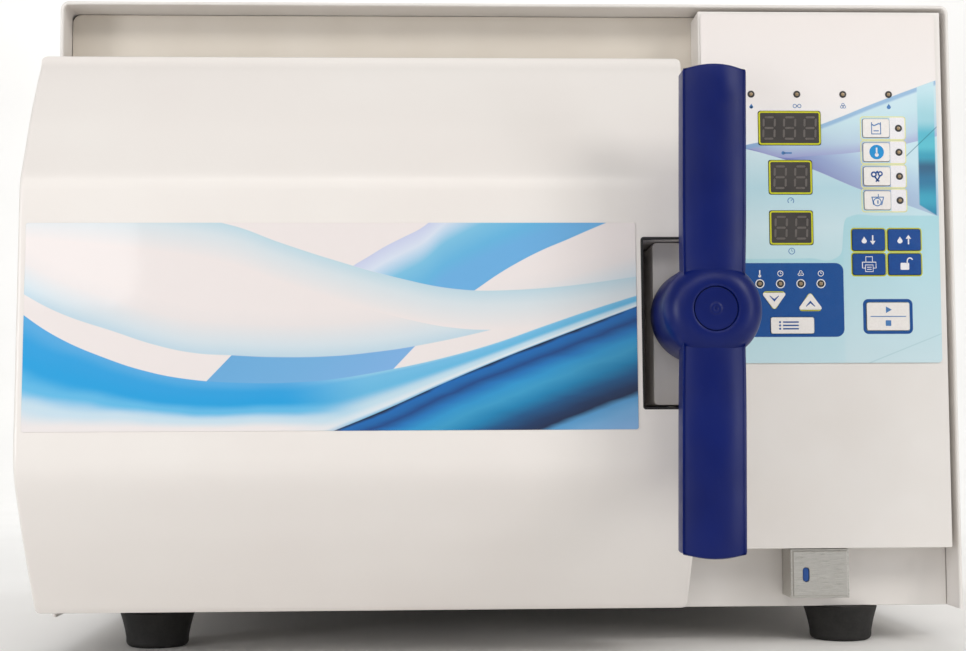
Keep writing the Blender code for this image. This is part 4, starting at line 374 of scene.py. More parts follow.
def piece(name, bodies, material, body, replaces=(), sharp=32):
    """A finished piece: smooth except over edges sharper than sharp degrees, riding on a
    CAD body, and standing for the CAD parts that it replaces."""
    mesh = bodies if isinstance(bodies, bpy.types.Mesh) else make_mesh(name, bodies)
    mesh.name = name
    mesh.materials.clear()
    mesh.materials.append(material)
    mesh.polygons.foreach_set("use_smooth", [True] * len(mesh.polygons))
    mesh.set_sharp_from_angle(angle=math.radians(sharp))
    made = bpy.data.objects.new(name, mesh)
    bpy.context.scene.collection.objects.link(made)
    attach(made, body)
    if replaces:
        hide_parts(*replaces)
    return made


def cut_from(mesh, cutters, operation="DIFFERENCE"):
    """A mesh after an exact Boolean with each cutter mesh; used where two walls meet."""
    scratch = bpy.data.objects.new("scratch", mesh)
    bpy.context.scene.collection.objects.link(scratch)
    tools = []
    for cutter in cutters:
        tool = bpy.data.objects.new("tool", cutter)
        bpy.context.scene.collection.objects.link(tool)
        change = scratch.modifiers.new("cut", "BOOLEAN")
        change.object, change.operation, change.solver = tool, operation, "EXACT"
        tools.append(tool)
    seen = scratch.evaluated_get(bpy.context.evaluated_depsgraph_get())
    result = bpy.data.meshes.new_from_object(seen)
    for spare in tools + [scratch]:
        bpy.data.objects.remove(spare)
    return result


print("mesh helpers ready")

# %% [markdown]
# ## Outlines
# Most pieces start from a flat outline: a box or a polygon whose corners are arcs, or a
# circle.  An outline is then given a depth, made a frame, or turned round an axis.


# %% Outlines
def arc(count):
    """A quarter turn in count steps, as (sine, 1 - cosine)."""
    turn = np.linspace(0, math.pi / 2, count)
    return np.sin(turn), 1 - np.cos(turn)


def rounded_corners(corners, radius, count=8):
    """A closed outline whose corners become arcs.  Each arc's centre is on the bisector,
    radius / sin(half angle) from the corner, and touches both sides."""
    corners = np.asarray(corners, float)
    radii = np.broadcast_to(radius, len(corners))
    before = np.roll(corners, 1, 0) - corners
    after = np.roll(corners, -1, 0) - corners
    before /= np.linalg.norm(before, axis=1)[:, None]
    after /= np.linalg.norm(after, axis=1)[:, None]
    half = np.arccos(np.clip((before * after).sum(1), -1, 1)) / 2
    middle = before + after
    middle /= np.linalg.norm(middle, axis=1)[:, None]
    centre = corners + middle * (radii / np.sin(half))[:, None]
    first = corners + before * (radii / np.tan(half))[:, None] - centre
    last = corners + after * (radii / np.tan(half))[:, None] - centre
    share = np.linspace(0, 1, count)[None, :, None]
    sweep = (math.pi - 2 * half)[:, None, None]
    points = (first[:, None] * np.sin((1 - share) * sweep)
              + last[:, None] * np.sin(share * sweep)) / np.sin(sweep)
    return (centre[:, None] + points).reshape(-1, 2)


def box_outline(left, right, low, high, radius, count=8):
    """A rectangle whose corners are arcs of count points."""
    return rounded_corners([(left, low), (right, low), (right, high), (left, high)],
                           radius, count)


def circle_outline(u, v, radius, count):
    """(u + r cos t, v + r sin t) at count even turns t."""
    turn = np.linspace(0, 2 * math.pi, count, endpoint=False)
    return np.stack([u + radius * np.cos(turn), v + radius * np.sin(turn)], 1)


def moved_in(outline, distance):
    """An outline moved inwards along the mean normal of each point's two sides."""
    before = outline - np.roll(outline, 1, 0)
    after = np.roll(outline, -1, 0) - outline
    normal = before / np.linalg.norm(before, axis=1)[:, None]
    normal = normal + after / np.linalg.norm(after, axis=1)[:, None]
    normal = np.stack([-normal[:, 1], normal[:, 0]], 1)
    normal /= np.linalg.norm(normal, axis=1)[:, None]
    x, y = outline[:, 0], outline[:, 1]
    area = (x * np.roll(y, -1) - np.roll(x, -1) * y).sum()
    return outline + normal * distance * np.sign(area)


def upright(outline, y):
    """Points of an (x, z) outline at a depth y."""
    return np.stack([outline[:, 0], np.full(len(outline), y), outline[:, 1]], 1)


def slab(outline, front, back):
    """A plate facing -Y with the given outline."""
    return solid([upright(outline, front), upright(outline, back)])


def frame_slab(outer, inner, front, back):
    """A flat frame between two outlines of equal count, closed round its section."""
    return solid([upright(outer, front), upright(outer, back), upright(inner, back),
                  upright(inner, front)], closed_along=True)


def turned(profile, centre, axis="Y", count=72):
    """A profile of (radius, place along the axis) turned round the axis."""
    profile = np.asarray(profile, float)
    turn = np.linspace(0, 2 * math.pi, count, endpoint=False)
    across = centre[0] + profile[:, :1] * np.cos(turn)
    up = centre[1] + profile[:, :1] * np.sin(turn)
    along = np.broadcast_to(profile[:, 1:], across.shape)
    order = {"Y": (across, along, up), "Z": (across, up, along)}
    return solid(np.stack(order[axis], -1))


print("a quarter turn in 4 steps:", arc(4)[0].round(2).tolist())

# %% [markdown]
# ## Finishing the CAD parts that stay
# A part whose shape is already right keeps its mesh.  Its corners are welded and given a
# small rounding by modifiers, because no real edge is perfectly sharp, and the highlight
# that runs along a rounded edge is what makes a sheet look folded and not cut from paper.


# %% Edge finishing and materials for the CAD parts
def finish(material, radius, *names):
    """Gives CAD parts a material and an edge rounding of radius millimetres, on edges
    sharper than 35 degrees."""
    for name in names:
        part = nodes[name]
        for index in range(max(1, len(part.material_slots))):
            if index < len(part.material_slots):
                part.material_slots[index].material = material
            else:
                part.data.materials.append(material)
        if radius:
            weld = part.modifiers.new("weld", "WELD")
            weld.merge_threshold = 0.01 * MM
            edge = part.modifiers.new("edge", "BEVEL")
            edge.width, edge.segments = radius * MM, 3
            edge.limit_method, edge.angle_limit = "ANGLE", math.radians(35)
            edge.use_clamp_overlap = True
            edge.harden_normals = True


finish(powder_coat, 0.6, "base_pan", "control_box", "rear_panel", "reservoir_lid")
# The recessed fascia takes the darker, warmer copy of the white coat as painted shade.
finish(painted_shade_coat, 0.4, "fascia")
finish(powder_coat, 1.2, "latch_block")
finish(stainless_round, 0.5, "chamber", "pressure_plate")
finish(stainless, 0.4, "door_frame", "reservoir", "tray_lower", "tray_upper", "tray_rack",
       "latch_keeper")
finish(stainless, 0.3, "service_cover")
finish(stainless_round, 0.3, "heater_band")
finish(plated, 0.4, "hinge_bracket_lower", "hinge_bracket_upper", "hinge_pin",
       "hinge_strap", "latch_spindle", "safety_valve_ring")
finish(brass, 0.3, "exhaust_fitting", "exhaust_valve", "fill_valve", "safety_valve")
finish(copper, 0, "steam_pipe")
finish(black_plastic, 0.3, "fan_frame", "fan_rotor", "mains_switch", "power_inlet")
finish(silicone, 0, "door_gasket")
finish(glass_wool, 0.8, "insulation_jacket")
finish(circuit_board, 0.2, "control_board", "power_board")
finish(smoked_lens, 0.15, "display_module")
finish(blue_key_face, 0.15, "reset_button", "key_drain", "key_fill", "key_print",
       "key_unlock")
finish(white_key_face, 0.15, "key_program_1", "key_program_2", "key_program_3",
       "key_program_4", "key_up", "key_down", "key_menu", "key_start")
print("CAD parts finished")

# %% [markdown]
# ## The hood
# One sheet is bent over the top and down both sides.  It is a thin round-edged section
# carried along a path: up the left side, round a bend, across, round the other bend and
# down.  The filler mouth is then cut through its top.


# %% Hood
def make_hood():
    """A sheet section (thickness by depth, with half-round edges) carried along the path."""
    low, high = box_of("hood")
    lid_low, lid_high = box_of("reservoir_lid")
    half, bend, square, steps = 1.1 * MM, 5 * MM, 0.01 * MM, 12
    left, right, top = low[0] + half, high[0] - half, high[2] - half
    path = rounded_corners([(left, low[2]), (left, top), (right, top), (right, low[2])],
                           [square, bend - half, bend - half, square], steps)
    path = path[steps - 1:1 - steps]
    along = np.gradient(path, axis=0)
    along /= np.linalg.norm(along, axis=1)[:, None]
    normal = np.stack([-along[:, 1], along[:, 0]], 1)
    turn = np.linspace(0, math.pi, 9)
    front = np.stack([half * np.cos(turn), low[1] + half - half * np.sin(turn)], 1)
    back = np.stack([-half * np.cos(turn), high[1] - half + half * np.sin(turn)], 1)
    section = np.concatenate([front, back])
    rings = np.empty((len(path), len(section), 3))
    rings[:, :, 0] = path[:, :1] + normal[:, :1] * section[:, 0]
    rings[:, :, 1] = section[:, 1]
    rings[:, :, 2] = path[:, 1:] + normal[:, 1:] * section[:, 0]
    mesh = make_mesh("hood", [solid(rings)])
    room, mouth_corner = 1 * MM, 3 * MM
    mouth = box_outline(lid_low[0] - room, lid_high[0] + room, lid_low[1] - room,
                        lid_high[1] + room, mouth_corner)
    middle = (lid_low[0] + lid_high[0]) / 2
    finger_half, finger_reach, finger_corner = 15 * MM, 10 * MM, 6 * MM
    finger = box_outline(middle - finger_half, middle + finger_half,
                         lid_low[1] - finger_reach, lid_low[1] + mouth_corner, finger_corner)
    through = 10 * MM
    cutters = []
    for outline in (mouth, finger):
        flat = np.column_stack([outline, np.full(len(outline), high[2] - through)])
        cutters.append(make_mesh("mouth", [solid([flat, flat + (0, 0, 2 * through)])]))
    piece("hood_sheet", cut_from(mesh, cutters), powder_coat, "case", ["hood"])
    print("hood", [round(float(side) / MM, 1) for side in high - low], "mm")


make_hood()

# %% [markdown]
# ## The door cover
# Seen from its side the cover is a lens: a flat middle, and an upper and a lower face that
# slope back and bow out a little.  That outline is carried from end to end, and its first
# and last rings are drawn in on a quarter circle, which rounds the side edges.  A second,
# smaller body is taken out of it to leave a 3 mm wall.


# %% Door cover
def spline(points, count):
    """A smooth curve through points: at each stretch the Catmull-Rom cubic
    0.5 (2b + (c - a) t + (2a - 5b + 4c - d) t^2 + (3b - a - 3c + d) t^3)."""
    points = np.asarray(points, float)
    whole = np.concatenate([[2 * points[0] - points[1]], points, [2 * points[-1] - points[-2]]])
    t = np.linspace(0, 1, count, endpoint=False)[None, :, None]
    a, b, c, d = (whole[i:len(whole) - 3 + i, None] for i in range(4))
    curve = 0.5 * (2 * b + (c - a) * t + (2 * a - 5 * b + 4 * c - d) * t ** 2
                   + (3 * b - a - 3 * c + d) * t ** 3)
    return np.concatenate([curve.reshape(-1, 2), points[-1:]])


DOOR_LOW, DOOR_HIGH = box_of("door_cover")
DOOR_BACK = DOOR_HIGH[1]
FILM_LOW, FILM_HIGH = box_of("door_film")


def door_outline():
    """The cover's outline as (y, z): reach in front of the rim against height."""
    reach_up = [(-40.0, 325.0), (-42.5, 319.5), (-50.0, 310.0), (-58.0, 298.0), (-66.0, 285.5),
                (-72.0, 274.0), (-78.0, 263.0), (-82.9, 254.0), (-84.6, 248.0), (-85.2, 241.0),
                (-85.9, 222.0), (-86.9, 196.0), (-88.2, 160.0), (-89.4, 128.0), (-90.0, 112.0),
                (-89.2, 104.0), (-86.8, 97.0), (-82.2, 88.5), (-76.0, 78.5), (-69.0, 67.5),
                (-61.5, 57.0), (-53.5, 46.0), (-45.5, 35.5), (-41.0, 29.5), (-38.5, 27.0)]
    curve = spline(np.array(reach_up) * MM, 6)
    curve[:, 0] += RIM
    curve[:, 0] = np.maximum(curve[:, 0], DOOR_LOW[1])
    curve[:, 1] = np.clip(curve[:, 1], DOOR_LOW[2], DOOR_HIGH[2])
    top = [(DOOR_BACK, DOOR_HIGH[2]), (RIM - 37.0 * MM, DOOR_HIGH[2])]
    bottom = [(RIM - 35.0 * MM, DOOR_LOW[2]), (DOOR_BACK, DOOR_LOW[2])]
    return np.concatenate([top, curve, bottom])


def make_door_cover():
    """The outline carried in x, with rounded ends, hollowed, notched and slotted."""
    outline = door_outline()
    edge, wall = 2.5 * MM, 3 * MM
    sine, drop = arc(6)
    at_back = outline[:, 0] >= DOOR_BACK - 1e-6
    middle = (outline.min(0) + outline.max(0)) / 2
    half = (outline.max(0) - outline.min(0)) / 2

    def smaller(distance, back):
        """Drawn towards the middle by distance / half the size, except for the open back."""
        points = middle + (outline - middle) * (half - distance) / half
        points[:, 0] = np.where(at_back, back, points[:, 0])
        return points

    def ring(x, distance):
        points = smaller(distance, DOOR_BACK)
        return np.stack([np.full(len(points), x), points[:, 0], points[:, 1]], 1)

    left, right = DOOR_LOW[0], DOOR_HIGH[0]
    rings = [ring(left + edge * d, edge * (1 - s)) for s, d in zip(sine, drop)]
    rings += [ring(right - edge * d, edge * (1 - s)) for s, d in zip(sine[::-1], drop[::-1])]
    body = make_mesh("door", [solid(rings)])
    hollow = smaller(wall, DOOR_BACK + wall)
    inner = [np.stack([np.full(len(hollow), x), hollow[:, 0], hollow[:, 1]], 1)
             for x in (left + wall, right - wall)]
    block_low, block_high = box_of("latch_block")
    beside, past, below, over_block, corner = 8 * MM, 10 * MM, 2.5 * MM, 1.5 * MM, 1.5 * MM
    notch = box_outline(block_low[0] - beside, right + past, block_low[2] - below,
                        block_high[2] + over_block, corner)
    cutters = [make_mesh("hollow", [solid(inner)]),
               make_mesh("notch", [slab(notch, DOOR_LOW[1] - 0.02, DOOR_BACK + 0.02)])]
    for name in ("hinge_bracket_lower", "hinge_bracket_upper"):
        lug_low, lug_high = box_of(name)
        slot = box_outline(left - 5 * MM, left + 2 * wall, lug_low[2] - 2.5 * MM,
                           lug_high[2] + 2.5 * MM, 1 * MM)
        cutters.append(make_mesh("slot", [slab(slot, RIM - 24 * MM, DOOR_BACK + 0.02)]))
    piece("door_cover_shell", cut_from(body, cutters), door_white, "door", ["door_cover"],
          sharp=28)
    print("door cover wall", wall / MM, "mm")
    return notch


notch_outline = make_door_cover()

# %% [markdown]
# ## The notch in the door's edge
# The notch shows the latch block.  Two sleeves line it: a thin black rim in front, which
# draws a dark line round it, partly a dark trim and partly painted shade along the notch's
# edge, and white return walls behind.


# %% Notch lining
def make_notch_lining():
    """A black rim at the front of the notch, partly painted shade, and white return walls behind
    it.
    """
    outline = notch_outline.copy()
    outline[:, 0] = np.minimum(outline[:, 0], DOOR_HIGH[0] - 0.4 * MM)
    front = RIM - 87.0 * MM
    rim_back, return_back = front + 3 * MM, DOOR_BACK - 8 * MM
    for name, near, far, wall, material, slot in (
            # The black rim is partly a dark trim and partly painted shade along the notch's edge.
            ("notch_rim_painted_shade", front, rim_back, 1.3 * MM, black_plastic, "black_plastic"),
            ("notch_return", rim_back, return_back, 1.1 * MM, door_white, "door_moulding")):
        inside = moved_in(outline, wall)
        rings = [upright(outline, near), upright(outline, far), upright(inside, far),
                 upright(inside, near)]
        piece(name, [solid(rings, closed_along=True)], material, "door")


make_notch_lining()
print("notch lined from y =", round(float(RIM - 87.0 * MM), 4))

# %% [markdown]
# ## The handle
# The bar has a D section: a shallow arc in front, straight sides and a flat back.  It is
# carried up the bar, with a slight waist at the hub, and its ends are crowned.  The hub is
# a turned dome.  The two are joined by a Boolean, which leaves the same crisp crease
# between arm and hub as the real moulding has.


# %% Handle
HANDLE_LOW, HANDLE_HIGH = box_of("handle")
AXIS_X = (HANDLE_LOW[0] + HANDLE_HIGH[0]) / 2
AXIS_Z = (HANDLE_LOW[2] + HANDLE_HIGH[2]) / 2
HUB_RADIUS = (HANDLE_HIGH[0] - HANDLE_LOW[0]) / 2
HUB_FACE, HUB_BACK = HANDLE_LOW[1], HANDLE_HIGH[1]
HANDLE_LEAN = math.radians(0.8)
BAR_HALF, BAR_BOW, BAR_DEPTH, BAR_FILLET = 15.75 * MM, 4.8 * MM, 18.5 * MM, 2.5 * MM
BAR_SETBACK = 2 * MM            # the bar's face behind the hub's
BAR_CROWN = 2 * MM              # rise of the curved ends
END_EDGE = 1.6 * MM
WAIST_SHARE, WAIST_LENGTH = 0.045, 28 * MM
WELL_RADIUS, WELL_DEPTH = 10.9 * MM, 2 * MM
DOME_RISE = 12.5 * MM


def bar_section(half, bow, depth, fillet):
    """A closed D: the arc's height is bow (1 - (x/half)^2), then the sides and the back,
    with rounded corners."""
    x = np.linspace(-half + 1.2 * MM, half - 1.2 * MM, 15)
    front = np.stack([x, bow * (x / half) ** 2], 1)
    right = rounded_corners([(half, bow * 0.6), (half, depth), (-half, depth),
                             (-half, bow * 0.6)], [0.8 * MM, fillet, fillet, 0.8 * MM], 6)
    return np.concatenate([front, right[3:-3]])


def bar_body():
    """The D section carried along z: crowned, round-edged ends, and a waist at the hub of
    share * exp(-(z / length)^2)."""
    reach = (HANDLE_HIGH[2] - HANDLE_LOW[2]) / 2
    face = HUB_FACE + BAR_SETBACK
    section = bar_section(BAR_HALF, BAR_BOW, BAR_DEPTH, BAR_FILLET)
    crown = BAR_CROWN * (1 - (section[:, 0] / BAR_HALF) ** 2)

    def end_ring(side, s, d):
        ring = moved_in(section, END_EDGE * (1 - s))
        height = side * (reach - BAR_CROWN + crown - END_EDGE * d)
        return np.stack([AXIS_X + ring[:, 0], face + ring[:, 1], AXIS_Z + height], 1)

    def ring_at(z):
        waist = 1 - WAIST_SHARE * math.exp(-(z / WAIST_LENGTH) ** 2)
        return np.stack([AXIS_X + section[:, 0] * waist, face + section[:, 1],
                         np.full(len(section), AXIS_Z + z)], 1)

    levels = list(zip(*arc(5)))
    rings = [end_ring(-1, s, d) for s, d in levels]
    rings += [ring_at(share * (reach - 2 * BAR_CROWN)) for share in np.linspace(-0.9, 0.9, 31)]
    rings += [end_ring(1, s, d) for s, d in levels[::-1]]
    return make_mesh("bar", [solid(rings)])


def hub_body():
    """A quarter ellipse from the lip of the disc's well out to the hub's side."""
    turn = np.linspace(0, math.pi / 2, 14)
    dome_start = WELL_RADIUS + 1.6 * MM
    dome = np.stack([dome_start + (HUB_RADIUS - dome_start) * np.sin(turn),
                     HUB_FACE + DOME_RISE * (1 - np.cos(turn))], 1)
    lip = np.array([(0.0, 1.0), (0.3, 0.35), (0.8, 0.08)]) * MM + (WELL_RADIUS, HUB_FACE)
    edge = 1 * MM
    profile = [(0.0, HUB_FACE + WELL_DEPTH), (WELL_RADIUS, HUB_FACE + WELL_DEPTH), *lip, *dome,
               (HUB_RADIUS, HUB_BACK - edge), (HUB_RADIUS - edge, HUB_BACK), (0.0, HUB_BACK)]
    return make_mesh("hub", [turned(profile, (AXIS_X, AXIS_Z), count=96)])


def make_handle():
    """The bar and the hub made one, bored for the disc, and leaned by HANDLE_LEAN."""
    before, floor = HUB_FACE - 20 * MM, HUB_FACE + WELL_DEPTH
    well = turned([(0.0, before), (WELL_RADIUS, before), (WELL_RADIUS, floor), (0.0, floor)],
                  (AXIS_X, AXIS_Z), count=96)
    joined = cut_from(bar_body(), [hub_body()], "UNION")
    bored = cut_from(joined, [make_mesh("well", [well])])
    bored.transform(Matrix.Translation((AXIS_X, 0, AXIS_Z))
                    @ Matrix.Rotation(HANDLE_LEAN, 4, "Y")
                    @ Matrix.Translation((-AXIS_X, 0, -AXIS_Z)))
    piece("handle_moulding", bored, navy, "handle", ["handle"], sharp=30)
    cap = [(0.0, 1.15), (0.7, 1.15), (1.1, 0.75), (1.5, 0.62), (2.3, 0.62), (2.7, 0.75),
           (3.0, 1.0), (3.5, 1.1), (9.4, 1.0), (10.1, 0.85), (10.5, 0.95), (10.6, 1.2),
           (10.6, 1.7), (0.0, 1.7)]
    profile = np.array(cap) * MM + (0.0, HUB_FACE)
    piece("handle_cap_disc", [turned(profile, (AXIS_X, AXIS_Z), count=80)], navy, "handle",
          ["handle_cap"])


make_handle()
print("handle from", round(float(HANDLE_LOW[2]), 3), "to", round(float(HANDLE_HIGH[2]), 3))

# %% [markdown]
# ## The rubber feet
# Each foot is turned: a flared top, a tapered side with a slight waist and a rounded sole.


# %% Feet
def make_foot(name):
    """A tapered side between two fillets, turned about the foot's own axis."""
    low, high = box_of(name)
    centre = ((low[0] + high[0]) / 2, (low[1] + high[1]) / 2)
    top = (high[0] - low[0]) / 2
    sole = top - 3.5 * MM
    sine, drop = arc(6)
    side = [(sole - 3 * MM * (1 - s) + 0.2 * MM, low[2] + 3 * MM * d)
            for s, d in zip(sine, drop)]
    rise = high[2] - low[2]
    flare = [(sole + (top - sole) * share ** 1.4, low[2] + 3 * MM + (rise - 4.5 * MM) * share)
             for share in np.linspace(0.15, 1, 7)]
    profile = [(0.0, low[2] + 0.6 * MM), (sole - 6 * MM, low[2] + 0.6 * MM),
               (sole - 5 * MM, low[2])] + side + flare
    profile += [(top, high[2] - 0.6 * MM), (top - 0.6 * MM, high[2]), (0.0, high[2])]
    piece(name + "_rubber", [turned(profile, centre, "Z", 64)], black_rubber, "case", [name])


for foot in ("foot_front_left", "foot_front_right", "foot_rear_left", "foot_rear_right"):
    make_foot(foot)
print("feet made")

# %% [markdown]
# ## The printed film on the door
# The film carries a wide sweep of blues: pale lens shapes above, a sky blue arc, and
# folded dark bands that fan out to the lower right.  Each border is a curve of height
# against place along the film, drawn with a Float Curve node, so it stays sharp at any
# size; a colour ramp then shades each area by its distance below a border.


# %% Curves and layers of a print
FILM_WIDE = FILM_HIGH[0] - FILM_LOW[0]
FILM_TALL = FILM_HIGH[2] - FILM_LOW[2]
SPAN = 2.0


def border(tree, across, points, size):
    """Height in millimetres of a curve through (across, up) points, as a node value."""
    wide, tall = size
    curve = add(tree, "FloatCurve", {"Value": across})
    mapping = curve.mapping
    mapping.clip_min_y, mapping.clip_max_y = 0.0, 1.0
    line = mapping.curves[0]
    for x, y in points[1:-1]:
        line.points.new(x / wide, y / tall / SPAN + 0.25)
    for place, (x, y) in ((0, points[0]), (-1, points[-1])):
        line.points[place].location = (x / wide, y / tall / SPAN + 0.25)
    mapping.update()
    return add(tree, "MapRange", {"Value": curve.outputs[0], "From Min": 0.25,
                                  "From Max": 0.25 + 1 / SPAN, "To Min": 0.0,
                                  "To Max": tall}, clamp=False).outputs[0]


def above(tree, value, blur=0.25):
    """1 where value is positive, 0 where it is negative, with a soft edge of blur mm."""
    return add(tree, "MapRange", {"Value": value, "From Min": -blur, "From Max": blur},
               interpolation_type="SMOOTHSTEP").outputs[0]


def over(tree, under, top, mask):
    """The top colour laid over the colour under it wherever the mask is 1."""
    mixed = add(tree, "Mix", {0: mask, 6: under, 7: top}, data_type="RGBA")
    return mixed.outputs[2]


def film_places(tree, place, low):
    """Millimetres across and up from the film's lower left corner."""
    parts = add(tree, "SeparateXYZ", {0: place})
    across = add(tree, "Math", (parts.outputs[0], low[0] / MM), operation="SUBTRACT")
    up = add(tree, "Math", (parts.outputs[2], low[2] / MM), operation="SUBTRACT")
    return across, up


# %% [markdown]
# The layers are laid from the back: the pinkish white ground, the pale shading inside the
# lens shapes, two flat blue panes, the sky blue arc, the bright band and the dark folds.


# %% Door print
def make_door_print():
    """Printed polyester under a clear gloss laminate with a faint orange peel."""
    material, tree, shader, place = start("printed_door_film", Roughness=0.3, IOR=1.5,
                                          Coat_Weight=0.8, Coat_Roughness=0.06)
    across, up = film_places(tree, place, FILM_LOW)
    size = (FILM_WIDE / MM, FILM_TALL / MM)
    share = add(tree, "Math", (across, size[0]), operation="DIVIDE")
    lens_low = border(tree, share, [(0, 69.5), (18, 60), (46, 50.3), (66, 43.7), (86, 39.5),
                                    (105, 38.3), (124, 37.4), (156, 37.8), (177, 39.8),
                                    (197, 42.7), (240, 52), (310, 72)], size)
    lens_high = border(tree, share, [(0, 118), (60, 112), (104, 104.6), (128, 95.9),
                                     (156, 86.7), (189, 77.4), (216, 72), (240, 71),
                                     (310, 78)], size)
    pane_left = border(tree, share, [(0, 20), (120, 50), (166, 84.1), (172, 87.7),
                                     (182, 93.8), (192, 98.9), (200, 103), (215, 115),
                                     (310, 150)], size)
    pane_right = border(tree, share, [(0, 0), (150, 20), (228.6, 71.9), (238, 78.4),
                                      (248, 84.5), (263, 92.2), (274, 96.8), (287, 102.5),
                                      (310, 112)], size)
    arc_top = border(tree, share, [(0, 59), (18, 47.3), (41, 37.2), (61, 30.6), (82, 26.4),
                                   (111, 24.3), (141, 24.7), (156, 26.1), (188, 31.5),
                                   (212, 36.8), (238, 44.1), (263, 52.8), (284, 60),
                                   (310, 68.2)], size)
    fold_top = border(tree, share, [(0, -40), (90, -26), (130, -10), (156, 0), (182, 10.6),
                                    (212, 24), (243, 37), (273, 48.6), (310, 62.5)], size)

    over_low = add(tree, "Math", (up, lens_low), operation="SUBTRACT")
    under_high = add(tree, "Math", (lens_high, up), operation="SUBTRACT")
    under_arc = add(tree, "Math", (arc_top, up), operation="SUBTRACT")
    under_fold = add(tree, "Math", (fold_top, up), operation="SUBTRACT")

    picture = over(
        tree, colour("#E8E0DE"),
        add(
            tree, "ValToRGB", (add(tree, "Math", (over_low, 24.0), operation="DIVIDE"),),
            [(0.0, "#BAD2DF"), (0.25, "#CFDBE2"), (0.7, "#E4DEDD"), (1.0, "#E8E0DE")]),
        above(tree, over_low))
    shade = add(
        tree, "ValToRGB", (add(tree, "Math", (under_high, 20.0), operation="DIVIDE"),),
        [(0.0, "#B9D3DE"), (0.35, "#D2DCE1"), (1.0, "#E8E0DE")])
    faded = add(
        tree, "Math",
        (above(tree, under_high), add(tree, "Math", (under_high, 20.0), operation="LESS_THAN")),
        operation="MULTIPLY")
    picture = over(tree, picture, shade, faded)
    pane = add(
        tree, "Math",
        (
            above(tree, add(tree, "Math", (under_high, -1.0), operation="MULTIPLY")),
            above(tree, add(tree, "Math", (pane_left, up), operation="SUBTRACT"))),
        operation="MULTIPLY")
    pane = add(
        tree, "Math",
        (pane, above(tree, add(tree, "Math", (up, pane_right), operation="SUBTRACT"))),
        operation="MULTIPLY")
    depth = add(
        tree, "Math", (add(tree, "Math", (pane_left, up), operation="SUBTRACT"), 36.0),
        operation="DIVIDE")
    picture = over(
        tree, picture,
        add(
            tree, "ValToRGB", (depth,),
            [
                (0.0, "#C3C9E4"), (0.22, "#D3DCEB"), (0.5, "#77BCDD"), (0.8, "#5FAFDA"),
                (1.0, "#66AADC")]), pane)
    slant = add(tree, "Math", (up, -0.95, across), operation="MULTIPLY_ADD")
    low_pane = add(
        tree, "Math",
        (
            above(tree, add(tree, "Math", (slant, 68.0), operation="SUBTRACT")),
            above(tree, add(tree, "Math", (156.5, slant), operation="SUBTRACT"))),
        operation="MULTIPLY")
    low_pane = add(
        tree, "Math",
        (low_pane, above(tree, add(tree, "Math", (over_low, -1.0), operation="MULTIPLY"))),
        operation="MULTIPLY")
    picture = over(
        tree, picture,
        add(
            tree, "ValToRGB", (add(tree, "Math", (slant, 160.0), operation="DIVIDE"),),
            [(0.4, "#64A6D6"), (0.7, "#6DAAD9"), (1.0, "#79ABDD")]), low_pane)

    low_share = add(
        tree, "Math", (under_arc, add(tree, "Math", (arc_top, 1.0), operation="MAXIMUM")),
        operation="DIVIDE")
    cloudy = add(
        tree, "Math", (grain(tree, place, 16.0, (2.5, 1, 1)), 0.14, -0.07),
        operation="MULTIPLY_ADD")
    low_share = add(tree, "Math", (low_share, cloudy), operation="ADD")
    arc_left = add(
        tree, "ValToRGB", (low_share,),
        [
            (0.0, "#4FA6DC"), (0.22, "#1D9CDA"), (0.42, "#0B9CDA"), (0.6, "#5DB6E2"),
            (0.78, "#C4DBE8"), (0.95, "#E9E3E2")], blend="EASE")
    between = add(
        tree, "Math",
        (
            under_arc,
            add(
                tree, "Math", (add(tree, "Math", (arc_top, fold_top), operation="SUBTRACT"), 1.0),
                operation="MAXIMUM")), operation="DIVIDE")
    arc_right = add(
        tree, "ValToRGB", (between,),
        [
            (0.0, "#8CC6E3"), (0.1, "#6CB8DF"), (0.4, "#63B4DC"), (0.72, "#BFD9E6"),
            (0.9, "#D9E2E8"), (1.0, "#7FB9DB")], blend="EASE")
    rightness = add(tree, "MapRange", {"Value": across, "From Min": 128.0, "From Max": 178.0},
                    interpolation_type="SMOOTHSTEP").outputs[0]
    picture = over(tree, picture, over(tree, arc_left, arc_right, rightness),
                   above(tree, under_arc))
    streak = add(
        tree, "Math", (grain(tree, place, 5.0, (9, 1, 1.2)), 0.06, -0.03),
        operation="MULTIPLY_ADD")
    fold = add(
        tree, "Math", (add(tree, "Math", (under_fold, 62.0), operation="DIVIDE"), streak),
        operation="ADD")
    folds = add(
        tree, "ValToRGB", (fold,),
        [
            (0.0, "#00193C"), (0.024, "#0064AF"), (0.065, "#005FA5"), (0.113, "#004182"),
            (0.177, "#0A6EB4"), (0.258, "#2391C8"), (0.339, "#3096C3"), (0.435, "#007DAF"),
            (0.532, "#005082"), (0.629, "#002D5A"), (0.694, "#001E46"), (0.742, "#5096C8"),
            (0.839, "#6EA5D2"), (0.968, "#7DAAD7")])
    picture = over(tree, picture, folds, above(tree, under_fold))
    tree.links.new(picture, shader.inputs["Base Color"])
    peel = grain(tree, place, 2.2, detail=2.0)
    wave = add(tree, "Bump", {"Height": grain(tree, place, 22.0), "Distance": 0.1 * MM})
    bump = add(tree, "Bump", {"Height": peel, "Distance": 0.01 * MM,
                              "Normal": wave.outputs[0]})
    tree.links.new(bump.outputs[0], shader.inputs["Normal"])
    tree.links.new(bump.outputs[0], shader.inputs["Coat Normal"])
    return material


